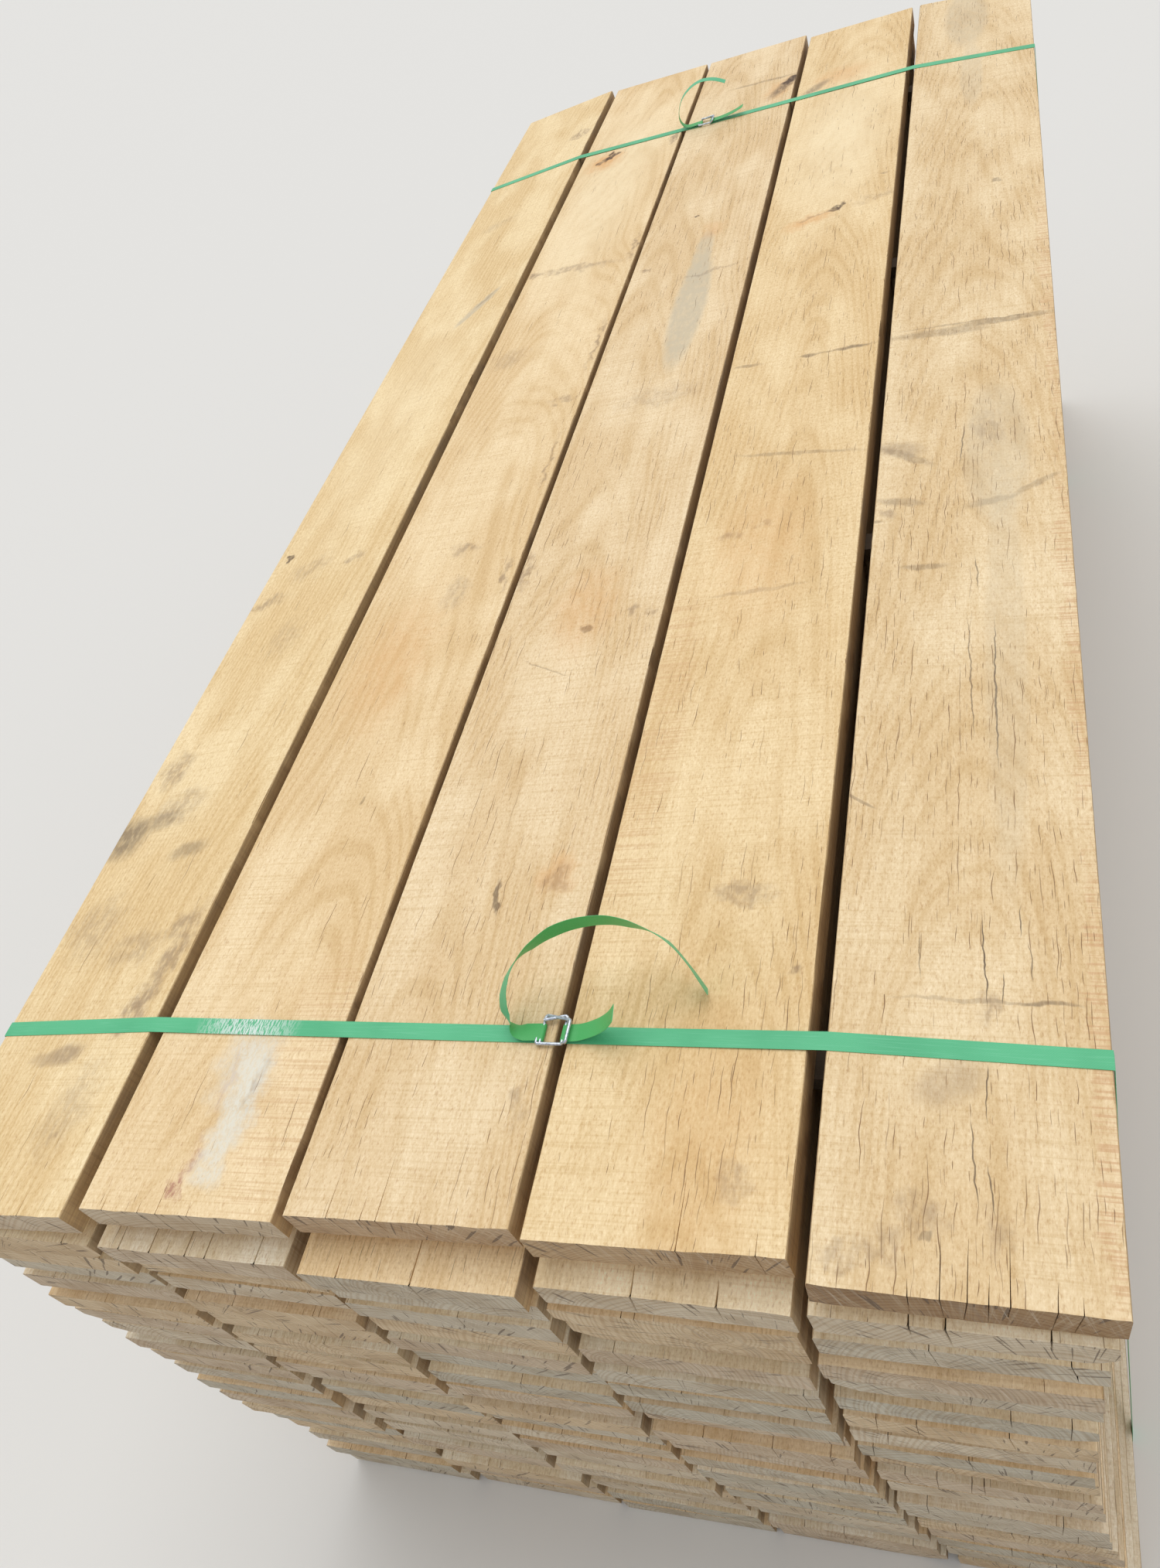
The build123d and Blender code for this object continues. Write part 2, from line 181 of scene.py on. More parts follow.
# Marks on the top boards: kind, place across and along the pack, half sizes across and along,
# turn in degrees, and strength
marks = (
    ("stain", -414, -1083, 24, 13, 10, 0.72),
    ("stain", -440, -1089, 18, 9, 0, 0.40),
    ("dirt", -335, -975, 14, 70, -8, 0.55),
    ("dirt", -352, -1040, 18, 28, -20, 0.62),
    ("dirt", -345, -930, 12, 26, -25, 0.50),
    ("dirt", -395, -960, 44, 26, 20, 0.34),
    ("dirt", -470, -930, 44, 46, 10, 0.30),
    ("dirt", -370, -1140, 30, 60, -10, 0.26),
    ("light", -430, 60, 80, 380, 0, 0.24),
    ("dirt", -372, -1168, 9, 12, 0, 0.30),
    ("smudge", -500, -804, 32, 34, 14, 0.74),
    ("smudge", -462, -780, 34, 18, 12, 0.50),
    ("smudge", -391, -831, 28, 13, 12, 0.46),
    ("dirt", -440, -760, 40, 30, 10, 0.34),
    ("dirt", -480, -700, 24, 36, 0, 0.50),
    ("slate", -381, 352, 9, 58, -28, 0.80),
    ("line", -372, 372, 4, 30, -28, 0.40),
    ("knot", -495, -295, 5, 7, 30, 0.80),
    ("dirt", -488, -392, 34, 12, 10, 0.50),
    ("dirt", -440, -330, 40, 26, 30, 0.28),
    ("dirt", -367, -330, 18, 12, 20, 0.45),
    ("dirt", -420, -480, 30, 40, 0, 0.20),
    ("dirt", -345, 1038, 20, 26, -40, 0.50),
    ("dirt", -440, 700, 40, 20, 20, 0.22),
    ("pale", -190, -1090, 34, 50, 0, 0.74),
    ("pale", -177, -1118, 19, 64, 3, 0.86),
    ("pale", -184, -1172, 20, 40, -4, 0.78),
    ("rust", -208, -1206, 6, 16, -6, 0.74),
    ("rust", -203, -1178, 9, 18, 0, 0.40),
    ("rust", -202, -1110, 6, 40, 0, 0.18),
    ("dirt", -172, -1108, 6, 40, -4, 0.30),
    ("dirt", -186, -350, 22, 13, 0, 0.50),
    ("dirt", -177, -440, 20, 34, 0, 0.34),
    ("knot", -184, -782, 4, 7, 0, 0.45),
    ("dirt", -115, -420, 4, 30, 0, 0.55),
    ("dirt", -114, -180, 4, 70, 0, 0.55),
    ("dirt", -114, 130, 4, 80, 0, 0.55),
    ("amber", -225, -560, 60, 130, 0, 0.32),
    ("light", -215, 720, 96, 420, 0, 0.60),
    ("amber", -250, 848, 40, 46, -20, 0.80),
    ("knot", -241, 869, 9, 17, -38, 0.95),
    ("knot", -258, 848, 5, 14, -38, 0.70),
    ("dirt", -116, 874, 7, 34, 0, 0.70),
    ("dirt", -210, 404, 96, 13, -6, 0.42),
    ("dirt", -292, 412, 14, 16, 0, 0.55),
    ("dirt", -112, 440, 6, 50, 0, 0.60),
    ("dirt", -134, -22, 26, 9, 0, 0.42),
    ("dirt", -260, 130, 40, 30, 20, 0.26),
    ("slate", 24, 180, 25, 160, 0, 0.92),
    ("slate", 20, 330, 15, 96, 0, 0.70),
    ("line", 40, 1044, 66, 6, -2, 0.44),
    ("amber", 26, 430, 24, 36, 0, 0.36),
    ("dirt", -73, 333, 16, 9, 0, 0.55),
    ("dirt", 40, 282, 66, 6, 12, 0.38),
    ("knot", -12, 498, 2.5, 4, 0, 0.90),
    ("knot", 15, -537, 7, 12, 10, 0.62),
    ("amber", 8, -500, 46, 90, 0, 0.34),
    ("dirt", -89, -419, 8, 40, 0, 0.50),
    ("knot", 11, -908, 5, 22, 6, 0.66),
    ("amber", 65, -885, 24, 28, 0, 0.45),
    ("dirt", 66, -892, 14, 18, 0, 0.36),
    ("dirt", 87, -1115, 8, 20, 0, 0.34),
    ("dirt", 69, -511, 8, 9, 0, 0.50),
    ("dirt", 93, -518, 7, 8, 0, 0.42),
    ("line", -18, -597, 34, 1.2, -27, 0.40),
    ("dirt", 20, -60, 70, 30, 0, 0.22),
    ("amber", 78, 985, 30, 60, -20, 0.50),
    ("smudge", 86, 992, 15, 60, -26, 0.80),
    ("knot", 96, 1012, 8, 26, -26, 0.85),
    ("amber", 196, 965, 60, 46, 20, 0.56),
    ("smudge", 150, 936, 14, 40, -40, 0.66),
    ("light", 215, 700, 96, 330, 0, 0.58),
    ("knot", 226, 403, 13, 8, 20, 0.90),
    ("amber", 186, 380, 48, 20, 22, 0.60),
    ("dirt", 196, 392, 34, 5, 22, 0.42),
    ("dirt", 290, 410, 40, 16, 10, 0.26),
    ("dirt", 296, 488, 9, 6, 10, 0.60),
    ("line", 222, -28, 11, 5, 0, 0.62),
    ("line", 280, -28, 22, 5, 2, 0.58),
    ("line", 262, -28, 54, 3, 1, 0.36),
    ("line", 140, -26, 20, 4, 1, 0.46),
    ("dirt", 167, -403, 12, 13, 0, 0.44),
    ("dirt", 200, -389, 14, 7, 10, 0.42),
    ("line", 210, -505, 52, 4, 4, 0.34),
    ("line", 230, -253, 82, 4, -10, 0.36),
    ("amber", 205, -430, 66, 150, 0, 0.26),
    ("amber", 246, -1140, 60, 120, 0, 0.18),
    ("dirt", 243, -912, 34, 10, 2, 0.46),
    ("dirt", 298, -989, 8, 9, 0, 0.62),
    ("dirt", 269, -1168, 15, 17, 0, 0.36),
    ("slate", 414, 1110, 36, 140, 0, 0.50),
    ("slate", 424, 830, 18, 130, 0, 0.34),
    ("knot", 457, 394, 6, 9, 0, 0.42),
    ("line", 388, -25, 62, 10, 2, 0.44),
    ("line", 466, -9, 60, 7, 6, 0.54),
    ("line", 430, -6, 90, 2.5, 4.5, 0.40),
    ("line", 357, -292, 36, 8, -35, 0.46),
    ("stain", 350, -278, 30, 16, -10, 0.50),
    ("line", 448, -388, 28, 7, 17, 0.40),
    ("line", 494, -363, 32, 5, 37, 0.40),
    ("line", 354, -379, 28, 7, -10, 0.46),
    ("dirt", 342, -398, 10, 11, 0, 0.42),
    ("line", 329, -412, 8, 2, 5, 0.60),
    ("line", 384, -493, 24, 5, 1, 0.46),
    ("split", 418.8, -277.7, 0.7, 36, -3.3, 0.70),
    ("split", 434.8, -506.2, 0.7, 24, 3.4, 0.60),
    ("split", 451.8, -676.2, 0.8, 91, 0.5, 0.85),
    ("split", 429.5, -655, 0.7, 77, 2.1, 0.60),
    ("slate", 455, -290, 34, 130, 0, 0.36),
    ("slate", 461, -620, 18, 270, 0, 0.24),
    ("dirt", 445, -250, 20, 40, 0, 0.30),
    ("line", 335, -811, 20, 2, -28, 0.50),
    ("line", 438, -1010, 66, 2, 0, 0.36),
    ("line", 486, -1009.5, 22, 2.2, 0.5, 0.52),
    ("split", 441.1, -973.4, 0.6, 40, 2.6, 0.85),
    ("split", 454, -998.7, 0.5, 13, -0.7, 0.70),
    ("split", 467.9, -936.4, 0.5, 14, 0, 0.70),
    ("split", 473.8, -974.6, 0.5, 16, 2.7, 0.70),
    ("split", 393.5, -970.2, 0.5, 20, 3.4, 0.60),
    ("split", 442.2, -1085.7, 0.6, 20, 1.3, 0.80),
    ("split", 434, -1139, 0.6, 30, 5.5, 0.80),
    ("split", 444.9, -1156.5, 0.6, 16, 6.4, 0.75),
    ("dirt", 446, -1017, 10, 14, 0, 0.44),
    ("dirt", 399, -1180, 16, 24, 20, 0.40),
    ("dirt", 448, -1182, 10, 18, 0, 0.34),
    ("dirt", 372, -1206, 22, 16, 0, 0.34),
    ("dirt", 345, -1214, 16, 8, 0, 0.44),
    ("stain", 416, -1080, 30, 18, 30, 0.40),
    ("knot", 406, -1199, 4, 5, 0, 0.50),
    ("kerf", 521, -1050, 10, 190, 0, 0.50),
    ("kerf", 520, -560, 9, 270, 0, 0.44),
    ("kerf", 520, 40, 9, 330, 0, 0.40),
    ("kerf", -130, -1100, 40, 140, 0, 0.22),
    ("kerf", 130, -700, 30, 260, 0, 0.22),
)

# Colour of each kind of mark, how soft its outline is, and how much noise breaks it up
mark_kinds = {
    "dirt": ((134, 106, 84), 1.00, 0.75),
    "smudge": ((120, 101, 80), 0.85, 0.40),
    "stain": ((162, 136, 106), 0.80, 0.30),
    "line": ((126, 104, 80), 0.70, 0.35),
    "split": ((74, 56, 44), 0.50, 0.20),
    "slate": ((207, 191, 161), 0.45, 0.30),
    "light": ((253, 233, 192), 1.10, 0.25),
    "knot": ((74, 50, 34), 0.60, 0.30),
    "pale": ((232, 227, 210), 0.90, 0.45),
    "rust": ((164, 96, 84), 0.85, 0.70),
    "amber": ((226, 168, 102), 1.00, 0.35),
    "kerf": ((208, 158, 114), 0.60, 0.95),
}

# How far a mark's outline wanders across and along, the kinds that keep only a share of that,
# where an outline ends, in half sizes, and how far past its board's edge a mark may be placed
mark_wander = (34, 50)
mark_wander_noise = (42.0, 2.0, 0.6)
clean_kinds = ("line", "split", "slate", "smudge", "stain")
clean_wander = 0.2
mark_end = 1.25
board_reach = 5

# Noise patterns that break the marks up, and the levels between which each one does
mark_patterns = {
    "mottle": ((130.0, 60.0, 130.0), 2.0, 0.65),
    "fine": ((420.0, 170.0, 420.0), 2.0, 0.70),
}
mottle_levels = (0.34, 0.60)
fine_levels = (0.40, 0.60)
kerf_levels = (0.46, 0.60)

# Roughness of each material, and the depth and strength of its fine relief
finishes = {
    "face": (0.78, 0.5, 0.6),
    "edge": (0.82, 0.8, 0.6),
    "end": (0.85, 0.4, 0.6),
    "lath": (0.85, 0.8, 0.6),
    "strap": (0.42, 0.10, 0.5),
    "zinc": (0.34, 0.08, 0.4),
    "floor": (0.9, 0.0, 0.0),
}

# Shares of the finer patterns in the relief, and how strongly the straps shine
suede_relief = 0.7
saw_relief = 0.5
streak_relief = 0.7
strap_specular = 0.35

# Noise patterns of each material: repeats in a metre across, along and up, detail and roughness
face_patterns = {
    "clouds": ((12.0, 4.2, 12.0), 2.0, 0.60),
    "streaks": ((300.0, 8.0, 300.0), 2.0, 0.65),
    "saw": ((8.0, 420.0, 8.0), 1.0, 0.55),
    "suede": ((520.0, 230.0, 520.0), 2.0, 0.70),
    "flecks": ((620.0, 150.0, 620.0), 1.0, 0.50),
    "bend": ((20.0, 34.0, 20.0), 1.0, 0.50),
}
edge_patterns = {
    "streaks": ((260.0, 7.0, 260.0), 3.0, 0.60),
    "saw": ((14.0, 300.0, 14.0), 2.0, 0.60),
    "dirt": ((26.0, 9.0, 26.0), 3.0, 0.60),
}
end_clouds = ((16.0, 16.0, 30.0), 3.0, 0.60)
lath_patterns = {
    "streaks": ((9.0, 260.0, 260.0), 3.0, 0.60),
    "patches": ((6.0, 3.0, 21.0), 2.0, 0.60),
    "saw": ((300.0, 12.0, 12.0), 2.0, 0.60),
}
strap_clouds = ((14.0, 14.0, 14.0), 2.0, 0.50)
strap_patterns = {
    "scratches": ((26.0, 700.0, 1.0), 3.0, 0.60),
    "scrapes": ((640.0, 120.0, 1.0), 3.0, 0.70),
}
zinc_clouds = ((420.0, 420.0, 420.0), 3.0, 0.60)

# Tints of the sawn faces, which multiply the colour: pattern, its levels between which the tint
# comes in, and the tint's shares at those levels
cloud_levels = (0.36, 0.66)
cloud_tints = ((0.95, 0.90, 0.82, 1.0), (1.08, 1.10, 1.13, 1.0))
face_tints = (
    ("streaks", (0.40, 0.70, 0.0, 0.40), (0.86, 0.80, 0.70, 1.0)),
    ("suede", (0.50, 0.72, 0.0, 0.62), (0.78, 0.69, 0.56, 1.0)),
    ("suede", (0.30, 0.48, 0.80, 0.0), (1.12, 1.16, 1.24, 1.0)),
)
ring_tint = (0.90, 0.86, 0.78, 1.0)
ring_in_clouds = (0.40, 0.62, 0.75, 0.25)
saw_tint = (0.86, 0.81, 0.72, 1.0)
saw_levels = (0.48, 0.70)
saw_in_clouds = (0.38, 0.60, 0.10, 0.55)
checks_in_clouds = (0.36, 0.60, 0.58, 0.06)

# Layers of colour over each material: pattern, its levels between which the layer comes in, the
# layer's shares at those levels, and its colour
fleck_layers = (("flecks", (0.62, 0.74, 0.0, 0.32), (176, 128, 80)),)
# Inside the open end checks on the faces: painted shade
crack_shade_layers = (("crack", (0.15, 0.75, 0.0, 0.90), (84, 56, 34)),)
edge_layers = (
    ("streaks", (0.42, 0.70, 0.0, 0.50), (150, 116, 80)),
    ("saw", (0.48, 0.72, 0.0, 0.30), (140, 108, 76)),
    ("dirt", (0.45, 0.72, 0.0, 0.40), (128, 114, 98)),
)
end_layers = (
    ("rays", (0.46, 0.72, 0.0, 0.18), (226, 212, 184)),
    ("splits", (0.65, 0.685, 0.0, 0.70), (92, 74, 58)),
    ("saw", (0.50, 0.72, 0.0, 0.30), (142, 130, 116)),
    ("saw", (0.28, 0.44, 0.24, 0.0), (234, 226, 208)),
    # Inside the open end checks on the ends: painted shade
    ("crack", (0.20, 0.80, 0.0, 0.92), (52, 36, 24)),
)
lath_layers = (
    ("patches", (0.35, 0.70, 0.0, 1.0), (72, 60, 46)),
    ("streaks", (0.42, 0.70, 0.0, 0.60), (78, 60, 42)),
    ("saw", (0.50, 0.72, 0.0, 0.30), (66, 52, 38)),
)
strap_layers = (
    ("clouds", (0.35, 0.70, 0.0, 1.0), (80, 178, 126)),
    ("scratches", (0.50, 0.74, 0.0, 0.34), (128, 210, 166)),
)
zinc_layers = (("clouds", (0.38, 0.68, 0.0, 1.0), (168, 176, 188)),)

# Layers that follow a share of their own: the layer's strength, and its colour
face_checks = (0.9, (122, 84, 50))
face_wane = (0.8, (120, 92, 62))
edge_rings = (0.3, (176, 138, 96))
edge_wane = (0.7, (104, 78, 52))
# The band's inner side in a deeper green: painted shade
strap_inner_painted_shade = (0.75, (78, 176, 84))

# Colours below the layers, tints of the edges and ends, and how far the ends' clouds and rings show
# The sides' tint is partly their own browner colour and partly painted shade for the gaps between boards
edge_tone_and_shade = (206, 194, 176)
end_cloud_levels = (0.38, 0.68, 0.0, 0.6)
end_cloud_tint = (214, 200, 182)
end_ring_share = 0.42
end_ring_tint = (212, 192, 168)
# The laths' deep brown stands for the shade between the layers: painted shade
lath_painted_shade = (88, 72, 54)
zinc_shade = (214, 220, 228)

# Growth rings: width, how far they drift and how unevenly they follow each other
ring_width = 4.6
ring_drift = 40
ring_drift_pattern = ((7.0, 1.8, 7.0), 2.0, 0.35)
ring_uneven_scale = 55.0
ring_uneven_pattern = (None, 1.0, 0.5)
ring_unevenness = 4.0
ring_levels = (-0.2, 1.0)

# Fine splits on the faces, long and short ones: width and length of the cells that each lies in,
# its own width, and how far it wanders sideways. Below are their places across, half lengths and
# depths in those cells, as shares, and how each one thins out
hairline_sizes = ((9, 70, 0.44, 7), (5, 24, 0.36, 5))
hairline_row_offset = 7.0
hairline_middles = (0.25, 0.75)
hairline_reaches = (0.14, 0.48)
hairline_depths = (0.4, 1.0)
hairline_thinnest = 0.02
hairline_levels = (0.5, 1.3)

# Ends: how often rays and splits repeat round the heart and out from it, and the saw's slant
ray_scales = (95.0, 20.0)
ray_pattern = (None, 2.0, 0.6)
split_scales = (46.0, 26.0)
split_pattern = (None, 1.0, 0.5)
end_saw_scales = (420.0, 14.0)
end_saw_pattern = (None, 2.0, 0.6)
end_saw_slant = 0.28
split_levels = (0.65, 0.685)
split_relief = 1.5

# Straps
strap_thickness = 0.8
strap_clearance = 0.1
wire_diameter = 3.0
wire_clearance = 0.15
buckle_opening = 16.6
outer_side_step = 4.8
corner_run = 2.5
corner_zone = 20
middle_zone = 100
fold_points = 9
tail_step = 2.5
band_step = 12
strap_lines_across = 7
strap_edge_share = 0.45
strap_smooth_angle = 50
strap_colour = (92, 190, 137)
waffle_pitch = 1.9

# Scuff on the near strap: place across the pack and half length, how it fades towards its ends,
# and the share of the pack's height above which the strap is scuffed
near_scuffs = ((-205, 55),)
scuff_fade = 0.6
scuffed_height = 0.8
scuff_levels = (0.43, 0.55)
scuff_shade = (228, 238, 230)

# Free tails: points across the pack, along it from the strap's middle line, and up from the top
# face, each with the angle in degrees by which the band is turned about its own line
near_long_tail = (
    (77, 0, 3.6, 0), (70, 1, 4.6, 20), (64.5, 5, 9, 48), (61.5, 10, 17, 56), (62, 17, 28, 38),
    (66, 27, 39, 12), (74, 39, 48, -20), (88, 50, 55, -58), (106, 62, 59, -80), (128, 69, 61.5, -84),
    (152, 72, 61, -83), (172, 70, 58, -76), (190, 66, 53, -58), (204, 61, 44, -46), (214, 54, 33, -41),
    (222, 47, 20, -35), (230, 39, 6.5, -32),
)
near_short_tail = (
    (117, 0, 4, 0), (126, 0.4, 4.6, 0), (136, 0.8, 8.5, 0), (147, 1, 15, -2), (157, 1, 24, -4),
    (165, 1, 35, -6),
)
far_long_tail = (
    (-84, 0, 3.6, 0), (-94, 0.5, 5, 4), (-101, 1, 12, 8), (-103, 1, 24, 8), (-98, 1, 40, 6),
    (-87, 1, 56, 4), (-70, 1, 68, 2), (-52, 1, 74, 0), (-36, 1, 74, 0), (-20, 1, 70, 0), (-4, 1, 62, 0),
)
far_short_tail = (
    (-36, 0, 4, 0), (-24, 0.3, 4.6, 0), (-10, 0.6, 6.5, 0), (4, 1, 9.5, 0), (18, 1, 14, 0),
)


def linear(*shade):
    """A colour seen as 0 to 255 levels, as the light levels that shaders take."""
    toe, slope, offset, power = 0.04045, 12.92, 0.055, 2.4
    levels = [part / 255 for part in shade]
    light = [part / slope if part <= toe else ((part + offset) / (1 + offset)) ** power for part in levels]
    return (*light, 1.0)


def link(name, data):
    piece = bpy.data.objects.new(name, data)
    bpy.context.scene.collection.objects.link(piece)
    return piece


def add_values(mesh, name, rows):
    """Values at the points of a mesh for its materials to read: numbers, places or colours."""
    kinds = {1: ("FLOAT", "value"), 3: ("FLOAT_VECTOR", "vector"), 4: ("FLOAT_COLOR", "color")}
    kind, field = kinds[rows.shape[1]]
    attribute = mesh.attributes.new(name, kind, "POINT")
    attribute.data.foreach_set(field, rows.astype(np.float32).ravel())


def smooth_piece(name, mesh, angle):
    """A mesh as a piece of the scene, smooth where its faces meet within an angle in degrees."""
    mesh.polygons.foreach_set("use_smooth", np.ones(len(mesh.polygons), bool))
    mesh.update()
    mesh.set_sharp_from_angle(angle=radians(angle))
    return link(name, mesh)


def measure_board(points):
    """A board's place, tilt, size and wane, from the corners of its solid."""
    middle = sum(point.y for point in points) / len(points)
    near = [point for point in points if point.y < middle]
    far = [point for point in points if point.y >= middle]
    centre = (min(point.x for point in near) + max(point.x for point in near)) / 2
    top_left = max((point for point in near if point.x < centre), key=lambda point: point.z)
    top_right = max((point for point in near if point.x > centre), key=lambda point: point.z)
    across = Vector((top_right.x - top_left.x, top_right.z - top_left.z))
    width = across.length
    across.normalize()
    up = Vector((-across.y, across.x))
    top = Vector((top_left.x + top_right.x, top_left.z + top_right.z)) / 2
    flat = [Vector((point.x, point.z)) - top for point in near]
    local = [(point.dot(across), point.dot(up)) for point in flat]
    thickness = -min(place[1] for place in local)
    wane = {}
    for side in (-1, 1):
        lower = [place for place in local if place[0] * side > 0 and place[1] < -lower_edge_share * thickness]
        reach = min(lower, key=lambda place: place[1])
        height = max(place[1] for place in lower) + thickness
        wane[side] = (width / 2 - abs(reach[0]), height) if len(lower) > 1 else (0.0, 0.0)
    return {
        "base": top - up * thickness,
        "across": across,
        "up": up,
        "width": width,
        "thickness": thickness,
        "wane": wane,
        "near": (top_left.y + top_right.y) / 2,
        "lean": (top_right.y - top_left.y) / width,
        "length": max(point.y for point in far) - max(point.y for point in near),
        "corners": [(point.x, point.z) for point in near],
    }


def read_boards(node):
    """The boards of one layer's node, from left to right."""
    shape = bmesh.new()
    shape.from_mesh(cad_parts[node].data)
    bmesh.ops.remove_doubles(shape, verts=shape.verts, dist=weld)
    seen = set()
    boards = []
    for start in shape.verts:
        if start in seen:
            continue
        seen.add(start)
        group = [start]
        for vert in group:
            for edge in vert.link_edges:
                other = edge.other_vert(vert)
                if other not in seen:
                    seen.add(other)
                    group.append(other)
        boards.append(measure_board([vert.co.copy() for vert in group]))
    shape.free()
    return sorted(boards, key=lambda board: board["base"].x)


def rough_line(chance, places, step, size):
    """An uneven line: random heights a step apart, joined by straight runs."""
    first = places.min()
    knots = np.arange(first - step, places.max() + 2 * step, step)
    return np.interp(places, knots, chance.uniform(-1, 1, len(knots))) * size


class Heap:
    """Points, faces and surface values of one piece, gathered board by board."""

    def __init__(self):
        self.points = []
        self.faces = []
        self.kinds = []
        self.values = {}
        self.count = 0

    def add(self, points, faces, kinds, values):
        self.points.append(points)
        self.faces.append(faces + self.count)
        self.kinds.append(kinds)
        for name, rows in values.items():
            self.values.setdefault(name, []).append(rows)
        self.count += len(points)

    def piece(self, name, materials):
        mesh = bpy.data.meshes.new(name)
        mesh.from_pydata(np.concatenate(self.points).tolist(), [], np.concatenate(self.faces).tolist())
        for material in materials:
            mesh.materials.append(material)
        mesh.polygons.foreach_set("material_index", np.concatenate(self.kinds).astype(np.int32))
        for value_name, parts in self.values.items():
            add_values(mesh, value_name, np.concatenate(parts))
        return smooth_piece(name, mesh, board_smooth_angle)


FACE, EDGE, END = range(3)


def stations_along(length, count):
    """Places along a board, close together at both ends."""
    ends = np.array(end_stations) * mm
    middle = np.linspace(ends[-1], length - ends[-1], count)[1:-1]
    return np.concatenate((ends, middle, (length - ends)[::-1]))


def lines_across(half, count, cracks):
    """Places across a board: even lines, one close to each edge, and three for each crack."""
    lines = set(np.linspace(-half + arris * mm, half - arris * mm, count))
    lines |= {-half, half}
    for crack in cracks:
        place, width = crack["u"], crack["half"]
        lines = {line for line in lines
                 if abs(line - place) > crack_clearance * width or abs(line) == half}
        lines |= {place - width, place, place + width}
    return np.array(sorted(lines))


def lines_upwards(thick):
    edge = arris * mm
    inner = np.linspace(edge, thick - edge, lines_up)[1:-1]
    return np.concatenate(((0.0, edge), inner, (thick - edge, thick)))


def board_grid(nu, nv, ny):
    """The surface of a box as a grid: indices of its points across, up and along, and its faces."""
    number = {}
    for k in range(ny):
        for i in range(nu):
            for j in range(nv):
                if k in (0, ny - 1) or i in (0, nu - 1) or j in (0, nv - 1):
                    number[i, j, k] = len(number)
    faces = []
    kinds = []

    def add_face(kind, *corners):
        faces.append([number[corner] for corner in corners])
        kinds.append(kind)

    top, right, last = nv - 1, nu - 1, ny - 1
    for k in range(last):
        for i in range(right):
            add_face(FACE, (i, top, k), (i + 1, top, k), (i + 1, top, k + 1), (i, top, k + 1))
            add_face(FACE, (i, 0, k + 1), (i + 1, 0, k + 1), (i + 1, 0, k), (i, 0, k))
        for j in range(top):
            add_face(EDGE, (0, j, k), (0, j + 1, k), (0, j + 1, k + 1), (0, j, k + 1))
            add_face(EDGE, (right, j, k + 1), (right, j + 1, k + 1), (right, j + 1, k), (right, j, k))
    for i in range(right):
        for j in range(top):
            add_face(END, (i, j, 0), (i + 1, j, 0), (i + 1, j + 1, 0), (i, j + 1, 0))
            add_face(END, (i, j + 1, last), (i + 1, j + 1, last), (i + 1, j, last), (i, j, last))
    return np.array(list(number)), np.array(faces), np.array(kinds)


